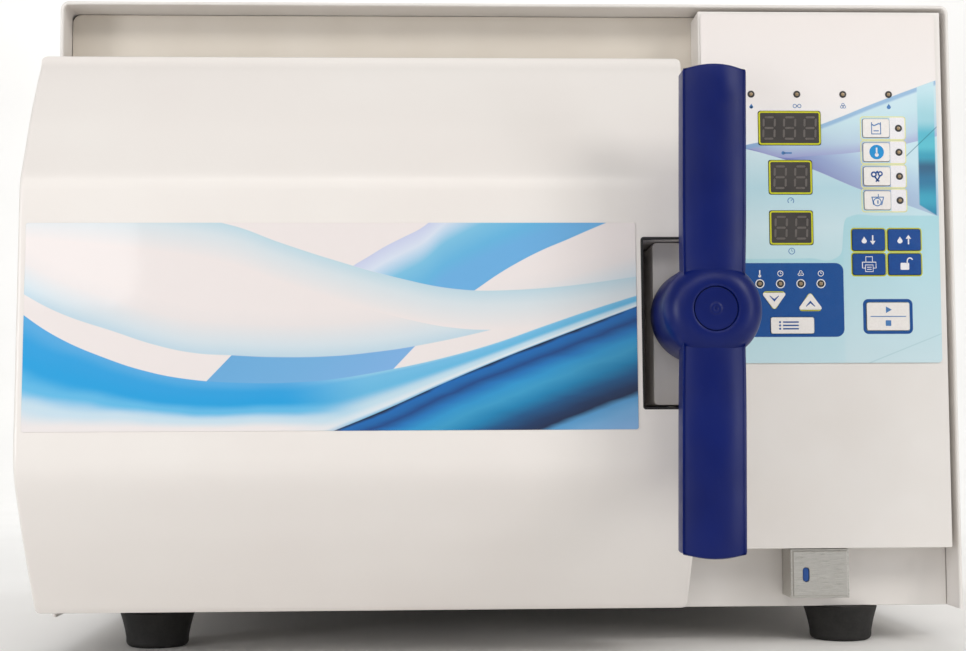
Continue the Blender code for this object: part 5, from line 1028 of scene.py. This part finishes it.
def make_door_film():
    """A thin sheet that leans with the door's middle: y is the same share of the way from
    the lower edge to the upper edge as z is."""
    outline = box_outline(FILM_LOW[0], FILM_HIGH[0], FILM_LOW[2], FILM_HIGH[2], 1.2 * MM)
    share = (outline[:, 1] - FILM_LOW[2]) / FILM_TALL
    face = RIM - (89.65 - 3.98 * share) * MM - 0.35 * MM

    def sheet(inwards, depth):
        ring = moved_in(outline, inwards)
        return np.stack([ring[:, 0], face + depth, ring[:, 1]], 1)

    bodies = [solid([sheet(0.12 * MM, 0), sheet(0, 0.12 * MM), sheet(0, 0.4 * MM)])]
    piece("door_label", bodies, make_door_print(), "door", ["door_film"])


make_door_film()
print("door film", round(float(FILM_WIDE), 3), "by", round(float(FILM_TALL), 3))

# %% [markdown]
# ## The keypad print
# The keypad film is white above and pale blue below.  A fan of violet blue opens from its
# left edge, a teal strip runs down its right side, and paler panels with round corners
# group the keys.  The same curve and layer helpers draw it.

# %% Keypad print
PAD_LOW, PAD_HIGH = box_of("control_overlay")
PAD_FACE = PAD_LOW[1]
PAD_LEFT, PAD_TOP = PAD_LOW[0], PAD_HIGH[2]


def make_keypad_print():
    """Matt printed polyester: heights are millimetres up from the film's lower edge."""
    material, tree, shader, place = start("printed_keypad_film", IOR=1.5, Coat_Weight=0.25,
                                          Coat_Roughness=0.3)
    across, up = film_places(tree, place, PAD_LOW)
    size = ((PAD_HIGH[0] - PAD_LOW[0]) / MM, (PAD_HIGH[2] - PAD_LOW[2]) / MM)
    share = add(tree, "Math", (across, size[0]), operation="DIVIDE")
    ridge = border(tree, share, [(0, 118), (23, 124.2), (45, 129), (69, 136.8),
                                 (102, 149.9), (135.6, 162.4)], size)
    fan_low = border(tree, share, [(0, 126), (23, 122.8), (45, 117), (63, 110.8),
                                   (89, 99.8), (120, 89.2), (135.6, 83.5)], size)
    fan_fold = border(tree, share, [(0, 124), (23, 123.2), (46, 117.5), (63, 118.5),
                                    (88, 120.5), (110, 124), (135.6, 130)], size)
    panel = border(tree, share, [(0, 59.6), (60, 59.6), (77, 60.6), (79.3, 64), (80.2, 75),
                                 (81.2, 81), (84.5, 83.6), (100, 84), (135.6, 84)], size)
    over_ridge = add(tree, "Math", (up, ridge), operation="SUBTRACT")
    over_fan = add(tree, "Math", (up, fan_low), operation="SUBTRACT")
    over_fold = add(tree, "Math", (up, fan_fold), operation="SUBTRACT")
    lower = add(
        tree, "ValToRGB", (add(tree, "Math", (up, 125.0), operation="DIVIDE"),),
        [
            (0.0, "#C6DEE6"), (0.35, "#B9DCE3"), (0.62, "#C9E1E8"), (0.8, "#B4D7E2"),
            (1.0, "#CFE3EA")])
    picture = over(
        tree, lower,
        add(
            tree, "ValToRGB", (add(tree, "Math", (across, 136.0), operation="DIVIDE"),),
            [(0.1, "#E3E9EC"), (0.6, "#D3E6EC"), (1.0, "#BFE0E8")]), above(tree, over_fan))
    violet = add(
        tree, "ValToRGB", (add(tree, "Math", (over_fan, 26.0), operation="DIVIDE"),),
        [(0.0, "#6F78B8"), (0.3, "#7F8FC6"), (0.65, "#9DB6D9"), (1.0, "#C2DCE8")])
    fan = add(
        tree, "Math",
        (
            above(tree, over_fan),
            above(tree, add(tree, "Math", (over_ridge, -1.0), operation="MULTIPLY"))),
        operation="MULTIPLY")
    near = add(tree, "MapRange", {"Value": across, "From Min": 40.0, "From Max": 135.0,
                                  "To Min": 1.0, "To Max": 0.4}).outputs[0]
    picture = over(tree, picture, violet, add(tree, "Math", (fan, near), operation="MULTIPLY"))
    pale = add(
        tree, "Math",
        (
            above(tree, over_fold),
            above(tree, add(tree, "Math", (over_ridge, -1.0), operation="MULTIPLY"))),
        operation="MULTIPLY")
    picture = over(
        tree, picture,
        add(
            tree, "ValToRGB", (add(tree, "Math", (over_fold, 30.0), operation="DIVIDE"),),
            [(0.0, "#9FA3CF"), (0.2, "#B5CBDF"), (0.6, "#C3DFE7"), (1.0, "#CDE3EA")]),
        add(tree, "Math", (pale, 0.8), operation="MULTIPLY"))
    edge = add(
        tree, "Math",
        (
            1.6,
            add(
                tree, "Math", (add(tree, "Math", (over_ridge, 1.0), operation="ADD"),),
                operation="ABSOLUTE")), operation="SUBTRACT")
    picture = over(
        tree, picture, colour("#7FA9D2"),
        add(tree, "Math", (above(tree, edge, 0.9), 0.75), operation="MULTIPLY"))
    picture = over(
        tree, picture,
        add(
            tree, "ValToRGB", (add(tree, "Math", (up, 200.0), operation="DIVIDE"),),
            [(0.6, "#E9EDF0"), (0.75, "#EDE8E6"), (1.0, "#EAE3DF")]), above(tree, over_ridge))
    under_panel = add(tree, "Math", (panel, up), operation="SUBTRACT")
    picture = over(
        tree, picture,
        add(
            tree, "ValToRGB", (add(tree, "Math", (under_panel, 84.0), operation="DIVIDE"),),
            [(0.0, "#AAD6DF"), (0.3, "#B4DAE3"), (0.7, "#C2DFE7"), (1.0, "#C9E1E8")]),
        above(tree, under_panel, 0.5))
    strip = add(
        tree, "Math",
        (
            above(tree, add(tree, "Math", (across, 124.6), operation="SUBTRACT"), 0.5),
            above(tree, add(tree, "Math", (134.4, across), operation="SUBTRACT"), 0.4)),
        operation="MULTIPLY")
    strip = add(
        tree, "Math",
        (
            strip,
            above(
                tree,
                add(
                    tree, "Math",
                    (up, add(tree, "Math", (across, -0.62, 167.5), operation="MULTIPLY_ADD")),
                    operation="SUBTRACT"), 0.5)), operation="MULTIPLY")
    strip = add(
        tree, "Math",
        (strip, above(tree, add(tree, "Math", (over_ridge, -1.0), operation="MULTIPLY"))),
        operation="MULTIPLY")
    teal = add(
        tree, "ValToRGB",
        (
            add(
                tree, "Math", (add(tree, "Math", (up, 84.0), operation="SUBTRACT"), 78.0),
                operation="DIVIDE"),),
        [
            (0.0, "#0A7FA6"), (0.12, "#2BA0BC"), (0.26, "#0A6F98"), (0.36, "#06557C"),
            (0.44, "#1F98B4"), (0.52, "#4FBACB"), (0.6, "#4FB5C9"), (0.72, "#9CCFDA"),
            (1.0, "#C4E2EA")], blend="EASE")
    picture = over(tree, picture, teal, add(tree, "Math", (strip, 0.95), operation="MULTIPLY"))
    line = add(
        tree, "Math", (up, add(tree, "Math", (across, 0.94, 7.9), operation="MULTIPLY_ADD")),
        operation="SUBTRACT")
    line = add(
        tree, "Math", (0.35, add(tree, "Math", (line,), operation="ABSOLUTE")),
        operation="SUBTRACT")
    line = add(
        tree, "Math",
        (
            above(tree, line, 0.3),
            above(tree, add(tree, "Math", (across, 117.0), operation="SUBTRACT"), 1.0)),
        operation="MULTIPLY")
    picture = over(
        tree, picture, colour("#1F6F86"), add(tree, "Math", (line, 0.7), operation="MULTIPLY"))
    low_line = add(
        tree, "Math", (up, add(tree, "Math", (across, 0.394, -37.0), operation="MULTIPLY_ADD")),
        operation="SUBTRACT")
    low_line = add(
        tree, "Math", (0.3, add(tree, "Math", (low_line,), operation="ABSOLUTE")),
        operation="SUBTRACT")
    picture = over(
        tree, picture, colour("#9FC6CE"),
        add(tree, "Math", (above(tree, low_line, 0.3), 0.55), operation="MULTIPLY"))
    tree.links.new(picture, shader.inputs["Base Color"])
    roughen(tree, shader, grain(tree, place, 4.0), 0.36, 0.46)
    emboss(tree, shader, grain(tree, place, 0.7), 0.012)
    return material


finish(make_keypad_print(), 0.12, "control_overlay")
print("keypad film at y =", round(float(PAD_FACE), 4))

# %% [markdown]
# ## Ink on the keypad
# Borders, blocks and pictograms are printed in a few flat inks.  Each is a very thin plate
# just proud of the surface that carries it, so it keeps a hard edge in close views.  The
# words of a real keypad are left out; small pictograms stand in their places.

# %% Printed frames and blocks
INK = 0.03 * MM
LIFT = 0.02 * MM
ON_INK = 0.06 * MM              # a second print clears the first by this
YELLOW_WIDTH = 0.9 * MM
STAGE_PLACES = (28.6, 55.0, 81.6, 108.1)
SETTING_PLACES = (31.8, 43.6, 55.3, 66.8)
STAGE_ROW, SETTING_ROW = 46.4, 155.4
PROGRAM_LAMP = 113.4


def on_pad(across, down):
    """A place on the film, millimetres across and down from its upper left, as (x, z)."""
    return PAD_LEFT + across * MM, PAD_TOP - down * MM


def ink_plate(outline, face):
    """A thin plate of ink on a face at depth face."""
    return slab(np.asarray(outline), face - LIFT - INK, face - LIFT)


def ink_frame(outline, width, face):
    """A printed border of the given width outside an outline."""
    return frame_slab(moved_in(outline, -width), outline, face - LIFT - INK, face - LIFT)


def stroke(points, width):
    """A line of the given width: points moved half a width each way along the normal."""
    points = np.asarray(points, float)
    along = np.gradient(points, axis=0)
    along /= np.linalg.norm(along, axis=1)[:, None]
    side = np.stack([-along[:, 1], along[:, 0]], 1) * width / 2
    return np.concatenate([points + side, (points - side)[::-1]])


# Each window: its middle across and down, its width and its height, in millimetres.
WINDOWS = [(50.4, 66.0, 35.8, 19.4), (50.4, 94.4, 24.8, 19.4), (50.4, 123.4, 24.8, 19.4)]


def make_window_borders():
    """Lemon borders on the edges of the three windows, a little under a millimetre wide."""
    face, inset, corner = box_of("display_module")[0][1], 0.95, 0.8 * MM
    frames = []
    for across, down, wide, tall in WINDOWS:
        x, z = on_pad(across, down)
        half_wide, half_tall = (wide / 2 - inset) * MM, (tall / 2 - inset) * MM
        outline = box_outline(x - half_wide, x + half_wide, z - half_tall, z + half_tall,
                              corner, 6)
        frames.append(ink_frame(outline, YELLOW_WIDTH, face))
    piece("window_borders", frames, yellow_ink, "case")


make_window_borders()
print(len(WINDOWS), "windows")

# %% [markdown]
# The keys stand in groups: four blue water keys edged in lemon, a start key edged in blue,
# and four program keys, each on a white card with a hole for its lamp.


# %% Borders and cards round the keys
def key_outline(name, margin):
    """The outline of a square key, grown by a margin in millimetres."""
    low, high = box_of(name)
    grow = margin * MM
    return box_outline(low[0] - grow, high[0] + grow, low[2] - grow, high[2] + grow,
                       1.3 * MM, 6)


def make_key_borders():
    """Lemon borders round the blue keys, and blue round the start key."""
    blue_keys = ("key_drain", "key_fill", "key_print", "key_unlock")
    piece("blue_key_borders", [ink_frame(key_outline(name, 0.3), 0.6 * MM, PAD_FACE)
                               for name in blue_keys], yellow_ink, "case")
    piece("start_key_border", [ink_frame(key_outline("key_start", 0.35), 1.7 * MM, PAD_FACE)],
          blue_ink, "case")
    cards, edges, rim = [], [], 1.0 * MM
    for i in range(4):
        low, high = box_of("key_program_%d" % (i + 1))
        left, right = low[0] - rim, PAD_LEFT + 117.0 * MM
        outer = box_outline(left, right, low[2] - rim, high[2] + rim, 1.2 * MM, 6)
        edges.append(ink_frame(outer, 0.55 * MM, PAD_FACE))
        x, z = high[0] + 0.35 * MM, (low[2] + high[2]) / 2
        lamp = circle_outline(PAD_LEFT + PROGRAM_LAMP * MM, z, 2.1 * MM, 40)
        card = box_outline(x, right, low[2] - rim, high[2] + rim, 0.8 * MM, 11)[2:-2]
        start_angle = np.argmin(np.abs(np.arctan2(lamp[:, 1] - z, lamp[:, 0] - lamp[:, 0].mean())
                                       + 3 * math.pi / 4))
        cards.append(frame_slab(card, np.roll(lamp, -start_angle, 0), PAD_FACE - LIFT - INK,
                                PAD_FACE - LIFT))
    piece("program_cards", cards, white_ink, "case")
    piece("program_borders", edges, pale_yellow_ink, "case")


make_key_borders()
print("key borders printed")

# %% [markdown]
# The block behind the arrow keys is one printed plate.  A Boolean opens it for the keys and
# lamps, so that nothing lies under them.


# %% Setting block and arrow borders
def triangle(name, way, margin):
    """The rounded outline of an arrow key: way is 1 for up and -1 for down."""
    low, high = box_of(name)
    middle, grow = (low[0] + high[0]) / 2, margin * MM
    base, tip = low[2] - grow, high[2] + 2 * grow
    if way < 0:
        base, tip = high[2] + grow, low[2] - 2 * grow
    half = (high[0] - low[0]) / 2 + 1.7 * grow
    corners = [(middle - half, base), (middle + half, base), (middle, tip)][::way]
    return rounded_corners(corners, 1.1 * MM, 6)


def make_setting_block():
    """The blue rounded block behind the arrow keys, with holes for keys and lamps."""
    x0, z0 = on_pad(14.0, 185.7)
    x1, z1 = on_pad(79.8, 143.6)
    mesh = make_mesh("block", [ink_plate(box_outline(x0, x1, z0, z1, 4.5 * MM), PAD_FACE)])
    key_room, lamp_radius, through = 0.3, 1.7 * MM, 10 * MM
    holes = [key_outline("key_menu", key_room), triangle("key_down", -1, key_room),
             triangle("key_up", 1, key_room)]
    holes += [circle_outline(*on_pad(across, SETTING_ROW), lamp_radius, 32)
              for across in SETTING_PLACES]
    cutters = [make_mesh("hole", [slab(hole, PAD_FACE - through, PAD_FACE + through)])
               for hole in holes]
    piece("setting_block", cut_from(mesh, cutters), blue_ink, "case")


make_setting_block()


def make_arrow_borders():
    """Lemon borders round the two arrow keys, printed over the block."""
    frames = [ink_frame(triangle(name, way, 0.25), 0.5 * MM, PAD_FACE - ON_INK)
              for name, way in (("key_down", -1), ("key_up", 1))]
    piece("arrow_borders", frames, yellow_ink, "case")


make_arrow_borders()
print("borders printed")

# %% [markdown]
# ## Lamps and digits
# A lamp is a small dome in a dark ring.  A digit has seven hexagonal bars; they are unlit,
# so they show only as a slightly paler brown inside the smoked window.


# %% Lamps and seven-segment digits
def lamp_places():
    """Places of the stage lamps, then the setting lamps, then the program lamps."""
    places = [(across, STAGE_ROW) for across in STAGE_PLACES]
    places += [(across, SETTING_ROW) for across in SETTING_PLACES]
    return places + [(PROGRAM_LAMP, 66.0 + 13.9 * i) for i in range(4)]


def ring_body(section, x, z, count=32):
    """A closed section of (radius, y) turned about an axis through (x, z)."""
    turn = np.linspace(0, 2 * math.pi, count, endpoint=False)[:, None]
    rings = np.stack([x + section[None, :, 0] * np.cos(turn),
                      np.broadcast_to(section[None, :, 1], (count, len(section))),
                      z + section[None, :, 0] * np.sin(turn)], -1)
    return solid(rings, closed_along=True)


def make_lamps():
    """A rim and a dome, with radius r sin t and rise h cos t; setting lamps have a ring."""
    rims, domes, rings = [], [], []
    radius, rise = 1.3 * MM, 0.4 * MM
    for i, (across, down) in enumerate(lamp_places()):
        x, z = on_pad(across, down)
        rim = np.array([(1.3, 0.1), (1.35, -0.22), (1.55, -0.34), (1.8, -0.3), (2.0, -0.12),
                        (2.05, 0.1)]) * MM
        rim[:, 1] += PAD_FACE - 0.05 * MM
        rims.append(ring_body(rim, x, z))
        turn = np.linspace(0, math.pi / 2, 6)
        dome = np.stack([radius * np.sin(turn), PAD_FACE + 0.05 * MM - rise * np.cos(turn)], 1)
        root = PAD_FACE + 0.15 * MM
        domes.append(turned([*dome, (radius, root), (0.0, root)], (x, z), count=24))
        if 4 <= i < 8:
            flat = np.array([(2.05, 0.0), (2.05, -0.04), (2.6, -0.04), (2.6, 0.0)]) * MM
            flat[:, 1] += PAD_FACE - LIFT - INK
            rings.append(ring_body(flat, x, z))
    piece("lamp_rims", rims, lamp_bezel, "case")
    piece("lamp_domes", domes, lamp_lens, "case")
    piece("lamp_rings", rings, white_ink, "case")


make_lamps()
print(len(lamp_places()), "lamps")


def digit_bars(x, z, wide, tall, thick, lean):
    """Seven bars of a digit centred on (x, z): each is a thin hexagon, sheared by lean."""
    half, quarter, t = wide / 2, tall / 2, thick / 2
    level = [(-half + t * 1.2, 0), (-half + t * 2.2, t), (half - t * 2.2, t),
             (half - t * 1.2, 0), (half - t * 2.2, -t), (-half + t * 2.2, -t)]
    post = [(0, t * 1.2), (t, t * 2.2), (t, quarter - t * 2.2), (0, quarter - t * 1.2),
            (-t, quarter - t * 2.2), (-t, t * 2.2)]
    bars = [np.array(level) + (0, shift) for shift in (-quarter, 0, quarter)]
    bars += [np.array(post) + (side * (half - t * 0.4), rise)
             for side in (-1, 1) for rise in (-quarter, 0)]
    return [np.stack([x + bar[:, 0] + lean * bar[:, 1], z + bar[:, 1]], 1) for bar in bars]


def make_digits():
    """Three digits in the upper window and two in each lower one."""
    face = box_of("display_module")[0][1]
    pitch, wide, tall, thick, lean = 11.8, 6.9 * MM, 12.4 * MM, 1.15 * MM, 0.04
    bars = []
    for (across, down, _, _), count in zip(WINDOWS, (3, 2, 2)):
        for i in range(count):
            x, z = on_pad(across + (i - (count - 1) / 2) * pitch, down)
            bars += [ink_plate(segment, face) for segment in digit_bars(x, z, wide, tall, thick,
                                                                        lean)]
    piece("digit_bars", bars, segment_grey, "case")


make_digits()
print("digits made")

# %% [markdown]
# ## Pictograms
# Each key's picture rides on the key, so it moves when the key is pressed.  They are drawn
# from strokes, rings and small plates: a flask, a drop, a cloth and a clock for the
# programs, arrows for the water keys, a printer, an open padlock, chevrons, a list, and a
# bar between a triangle and a square for start and stop.


# %% Pictograms on the keys
def key_face(name):
    """The middle of a key's front, as (x, z, y)."""
    low, high = box_of(name)
    return (low[0] + high[0]) / 2, (low[2] + high[2]) / 2, low[1]


def marks(name, ink, shapes, suffix="_mark", rise=0.0):
    """Prints closed outlines, given in millimetres about the key's middle, on a key; rise
    lifts them over an ink that is already there."""
    x, z, face = key_face(name)
    bodies = [ink_plate(np.asarray(shape) * MM + (x, z), face - rise) for shape in shapes]
    piece(name + suffix, bodies, ink, name)


def loop(u, v, radius, width=0.5, count=28, start=0.0, stop=2 * math.pi):
    """A ring, or part of one, as a stroke."""
    turn = np.linspace(start, stop, count)
    return stroke(np.stack([u + radius * np.cos(turn), v + radius * np.sin(turn)], 1), width)


def bar(u, v, wide, tall):
    """A rectangle about (u, v)."""
    return np.array([(u - wide / 2, v - tall / 2), (u + wide / 2, v - tall / 2),
                     (u + wide / 2, v + tall / 2), (u - wide / 2, v + tall / 2)])


def disc(u, v, radius):
    """A filled circle about (u, v)."""
    return circle_outline(u, v, radius, 32)


def drop(u, v, size):
    """A water drop: a circle whose upper half narrows by 0.98 sin^1.2 and is 1.7 as tall."""
    turn = np.linspace(0, 2 * math.pi, 28, endpoint=False)
    x = size * np.cos(turn) * (1 - np.clip(np.sin(turn), 0, 1) ** 1.2 * 0.98)
    return np.stack([u + x, v + size * (np.sin(turn) * np.where(np.sin(turn) > 0, 1.7, 1))], 1)


def make_marks():
    """One picture for each key."""
    marks("key_program_1", soft_blue_ink, [
        stroke([(-2.6, 3.4), (-2.6, -3.4)], 0.5), stroke([(2.6, 3.4), (2.6, -3.4)], 0.5),
        stroke([(-2.85, -3.4), (2.85, -3.4)], 0.5),
        stroke([(-2.6, 2.2), (-1.2, 1.4), (0.2, 2.0), (1.4, 2.6), (2.6, 2.2)], 0.7),
        bar(0, -1.6, 3.0, 0.6)])
    marks("key_program_2", sky_ink, [disc(0, 0, 4.2)])
    marks("key_program_2", white_ink, [bar(0, 0.8, 0.9, 3.6), disc(0, -1.6, 1.1)], "_figure",
          ON_INK)
    marks("key_program_3", blue_ink, [
        loop(-1.9, 1.0, 1.3, 0.9), loop(1.8, 1.4, 1.1, 0.8),
        stroke([(-1.4, -0.3), (0.0, -2.2), (1.2, -3.0)], 0.9),
        stroke([(1.6, 0.2), (0.6, -1.6), (-0.8, -3.2)], 0.9), disc(0.1, 2.4, 0.7)])
    marks("key_program_4", soft_blue_ink, [
        stroke([(-3.6, 1.8), (3.6, 1.8)], 0.55), stroke([(0.4, 3.6), (0.4, 1.8)], 0.5),
        loop(-0.2, -1.0, 2.2, 0.55), stroke([(-3.2, 1.6), (-2.4, -2.6)], 0.55),
        stroke([(3.4, 1.6), (2.2, -2.8)], 0.55), bar(0.1, -1.0, 0.7, 2.0)])
    water = [drop(-2.6, -0.6, 1.5)]
    marks("key_drain", white_ink, water + [bar(2.3, 0.9, 0.8, 3.4),
                                           [(0.7, -0.6), (3.9, -0.6), (2.3, -2.8)]])
    marks("key_fill", white_ink, water + [bar(2.3, -0.9, 0.8, 3.4),
                                          [(0.7, 0.6), (2.3, 2.8), (3.9, 0.6)]])
    marks("key_print", white_ink, [
        stroke([(-1.9, 1.2), (-1.9, 4.3), (1.9, 4.3), (1.9, 1.2)], 0.45),
        stroke([(-3.9, 1.2), (3.9, 1.2), (3.9, -2.2), (2.4, -2.2)], 0.5),
        stroke([(-3.9, 1.4), (-3.9, -2.2), (-2.4, -2.2)], 0.5),
        stroke([(-2.2, -0.4), (-2.2, -4.2), (2.2, -4.2), (2.2, -0.4), (-2.4, -0.4)], 0.45),
        bar(0, -1.7, 2.6, 0.4), bar(0, -2.9, 2.6, 0.4)])
    shackle = np.linspace(0.15 * math.pi, math.pi, 14)
    arch = np.stack([2.9 + 1.6 * np.cos(shackle), 1.6 + 2.0 * np.sin(shackle)], 1)
    marks("key_unlock", white_ink, [
        box_outline(-2.6, 2.4, -3.2, 0.8, 0.5, 5),
        stroke(np.concatenate([arch, [(1.3, 0.4)]]), 0.7)])
    marks("key_down", blue_ink, [
        [(-2.7, 2.6), (0, -0.6), (2.7, 2.6), (2.5, 2.9), (0, 0.9), (-2.5, 2.9)]])
    marks("key_up", blue_ink, [
        [(-2.7, -2.6), (-2.5, -2.9), (0, -0.9), (2.5, -2.9), (2.7, -2.6), (0, 0.6)]])
    marks("key_menu", blue_ink, [bar(-1.0, height, 9.0, 0.8) for height in (1.9, 0, -1.9)]
          + [disc(-7.2, height, 0.6) for height in (1.9, 0, -1.9)])
    marks("key_start", soft_blue_ink, [
        bar(0, 0, 20.4, 0.5), [(-1.3, 1.9), (-1.3, 5.7), (2.1, 3.8)],
        box_outline(-1.6, 1.6, -5.4, -2.2, 0.3, 4)])


make_marks()
print("keys printed")

# %% [markdown]
# Small pictograms also stand beside the lamps and under the windows: a flame, a capsule, a
# fan and a drop for the four stages, a thermometer, a pressure gauge and a clock.


# %% Pictograms on the film
def film_marks(name, ink, groups, face=PAD_FACE):
    """Prints groups of outlines, each about its own place on the film."""
    bodies = []
    for place, shapes in groups:
        bodies += [ink_plate(np.asarray(shape) * MM + on_pad(*place), face)
                   for shape in shapes]
    piece(name, bodies, ink, "case")


def dial(radius):
    """A small gauge: an open ring and a needle."""
    return [loop(0, 0, radius, 0.4, 30, -0.25 * math.pi, 1.25 * math.pi),
            stroke([(0, 0), (radius * 0.6, radius * 0.5)], 0.4)]


def clock(radius):
    """A ring and two hands."""
    return [loop(0, 0, radius, 0.4, 36), stroke([(0, radius * 0.65), (0, 0), (radius * 0.5, 0)],
                                                0.35)]


def make_film_marks():
    """Pictures for the stage lamps, the windows and the setting lamps."""
    flame = drop(0, -0.5, 1.1)
    fan = [loop(0.9 * math.cos(turn), 0.9 * math.sin(turn), 0.75, 0.35, 16)
           for turn in (math.pi / 2, math.pi * 7 / 6, math.pi * 11 / 6)]
    film_marks("stage_marks", soft_blue_ink, [
        ((28.6, 53.2), [flame, drop(0, -0.8, 0.5)]),
        ((55.0, 53.2), [loop(-1.3, 0, 1.0, 0.4), loop(1.3, 0, 1.0, 0.4), bar(0, 0, 1.2, 0.4)]),
        ((81.6, 53.2), fan), ((108.1, 53.2), [drop(0, -0.5, 1.2)])])
    film_marks("window_marks", soft_blue_ink, [
        ((50.4, 80.4), [bar(-1.2, 0, 4.6, 0.9), disc(-3.9, 0, 1.0)]),
        ((50.4, 107.9), dial(1.7)), ((50.4, 136.8), clock(1.7))])
    film_marks("setting_marks", white_ink, [
        ((31.8, 149.4), [bar(0, 0.2, 0.7, 3.0), disc(0, -1.6, 0.8)]),
        ((43.6, 149.6), clock(1.5)), ((55.3, 149.6), fan), ((66.8, 149.6), clock(1.5))],
        PAD_FACE - ON_INK)


make_film_marks()
print("pictograms printed")

# %% [markdown]
# ## The studio
# A pale floor turns up into a pale wall behind, so there is no horizon.  A broad lamp
# stands above the eye, with a soft pair and a low pair to its sides; a small one puts the
# sheen on the label, and one behind lights the wall.


# %% Floor and lights
def make_studio_paper():
    """Matt pale paper, a little uneven."""
    material, tree, shader, place = start("pale_studio_paper", Metallic=0.0)
    paint(tree, shader, grain(tree, place, 180.0), [(0.3, "#F2F1EF"), (0.7, "#F5F4F2")])
    roughen(tree, shader, grain(tree, place, 40.0), 0.8, 0.9)
    return material


def make_floor():
    """A sweep: flat, then a quarter circle of 0.8 m, then straight up."""
    turn = np.linspace(0, math.pi / 2, 24)
    bend = np.stack([1.6 + 0.8 * np.sin(turn), 0.8 * (1 - np.cos(turn))], 1)
    line = np.concatenate([[(-1.2, 0.0)], bend, [(2.4, 3.4)]])
    x = np.array([-4.0, 4.0])
    grid = np.stack([np.broadcast_to(x[:, None], (2, len(line))),
                     np.broadcast_to(line[:, 0], (2, len(line))),
                     np.broadcast_to(line[:, 1], (2, len(line)))], -1)
    mesh = bpy.data.meshes.new("studio_floor")
    count = len(line)
    faces = [(i, i + 1, count + i + 1, count + i) for i in range(count - 1)]
    mesh.from_pydata(grid.reshape(-1, 3).tolist(), [], [face[::-1] for face in faces])
    mesh.polygons.foreach_set("use_smooth", [True] * len(mesh.polygons))
    mesh.materials.append(make_studio_paper())
    floor = bpy.data.objects.new("studio_floor", mesh)
    bpy.context.scene.collection.objects.link(floor)


def make_lamp(name, place, target, size, power, tint):
    """A rectangular lamp at a place, facing its target."""
    light = bpy.data.lights.new(name, "AREA")
    light.shape, light.size, light.size_y = "RECTANGLE", size[0], size[1]
    light.energy, light.color = power, colour(tint)[:3]
    lamp = bpy.data.objects.new(name, light)
    lamp.location = place
    lamp.rotation_euler = (Vector(target) - Vector(place)).to_track_quat("-Z", "Y").to_euler()
    bpy.context.scene.collection.objects.link(lamp)


make_floor()
MACHINE = (0, -0.1, 0.15)
LAMPS = (("window_above_the_eye", (0.0, -1.8, 1.5), MACHINE, (1.4, 0.6), 8.5, "#FFFBF5"),
         ("soft_lamp_right", (1.3, -1.2, 1.1), MACHINE, (0.6, 0.6), 8, "#FFFCF8"),
         ("soft_lamp_left", (-1.1, -1.4, 1.1), MACHINE, (0.8, 0.6), 3.5, "#FFFCF8"),
         ("low_lamp_right", (1.5, -1.1, 0.25), MACHINE, (0.35, 0.7), 4.5, "#FAFBFF"),
         ("low_lamp_left", (-1.5, -1.1, 0.25), MACHINE, (0.4, 0.7), 9.5, "#FAFBFF"),
         ("small_window", (-0.5, -1.44, 0.45), (-0.2, -0.24, 0.2), (0.16, 0.14), 0.16,
          "#FFFFFF"),
         ("backdrop_lamp", (0.0, 0.9, 2.3), (0, 2.4, 0.7), (2.4, 0.5), 38, "#FFFFFF"))
for lamp in LAMPS:
    make_lamp(*lamp)
print(len(LAMPS), "lamps lit")

world = bpy.data.worlds.new("pale_room")
world.use_nodes = True
sky = world.node_tree.nodes["Background"]
sky.inputs["Color"].default_value = colour("#F6F7F8")
sky.inputs["Strength"].default_value = 0.4
bpy.context.scene.world = world
bpy.context.scene.view_settings.view_transform = "Standard"
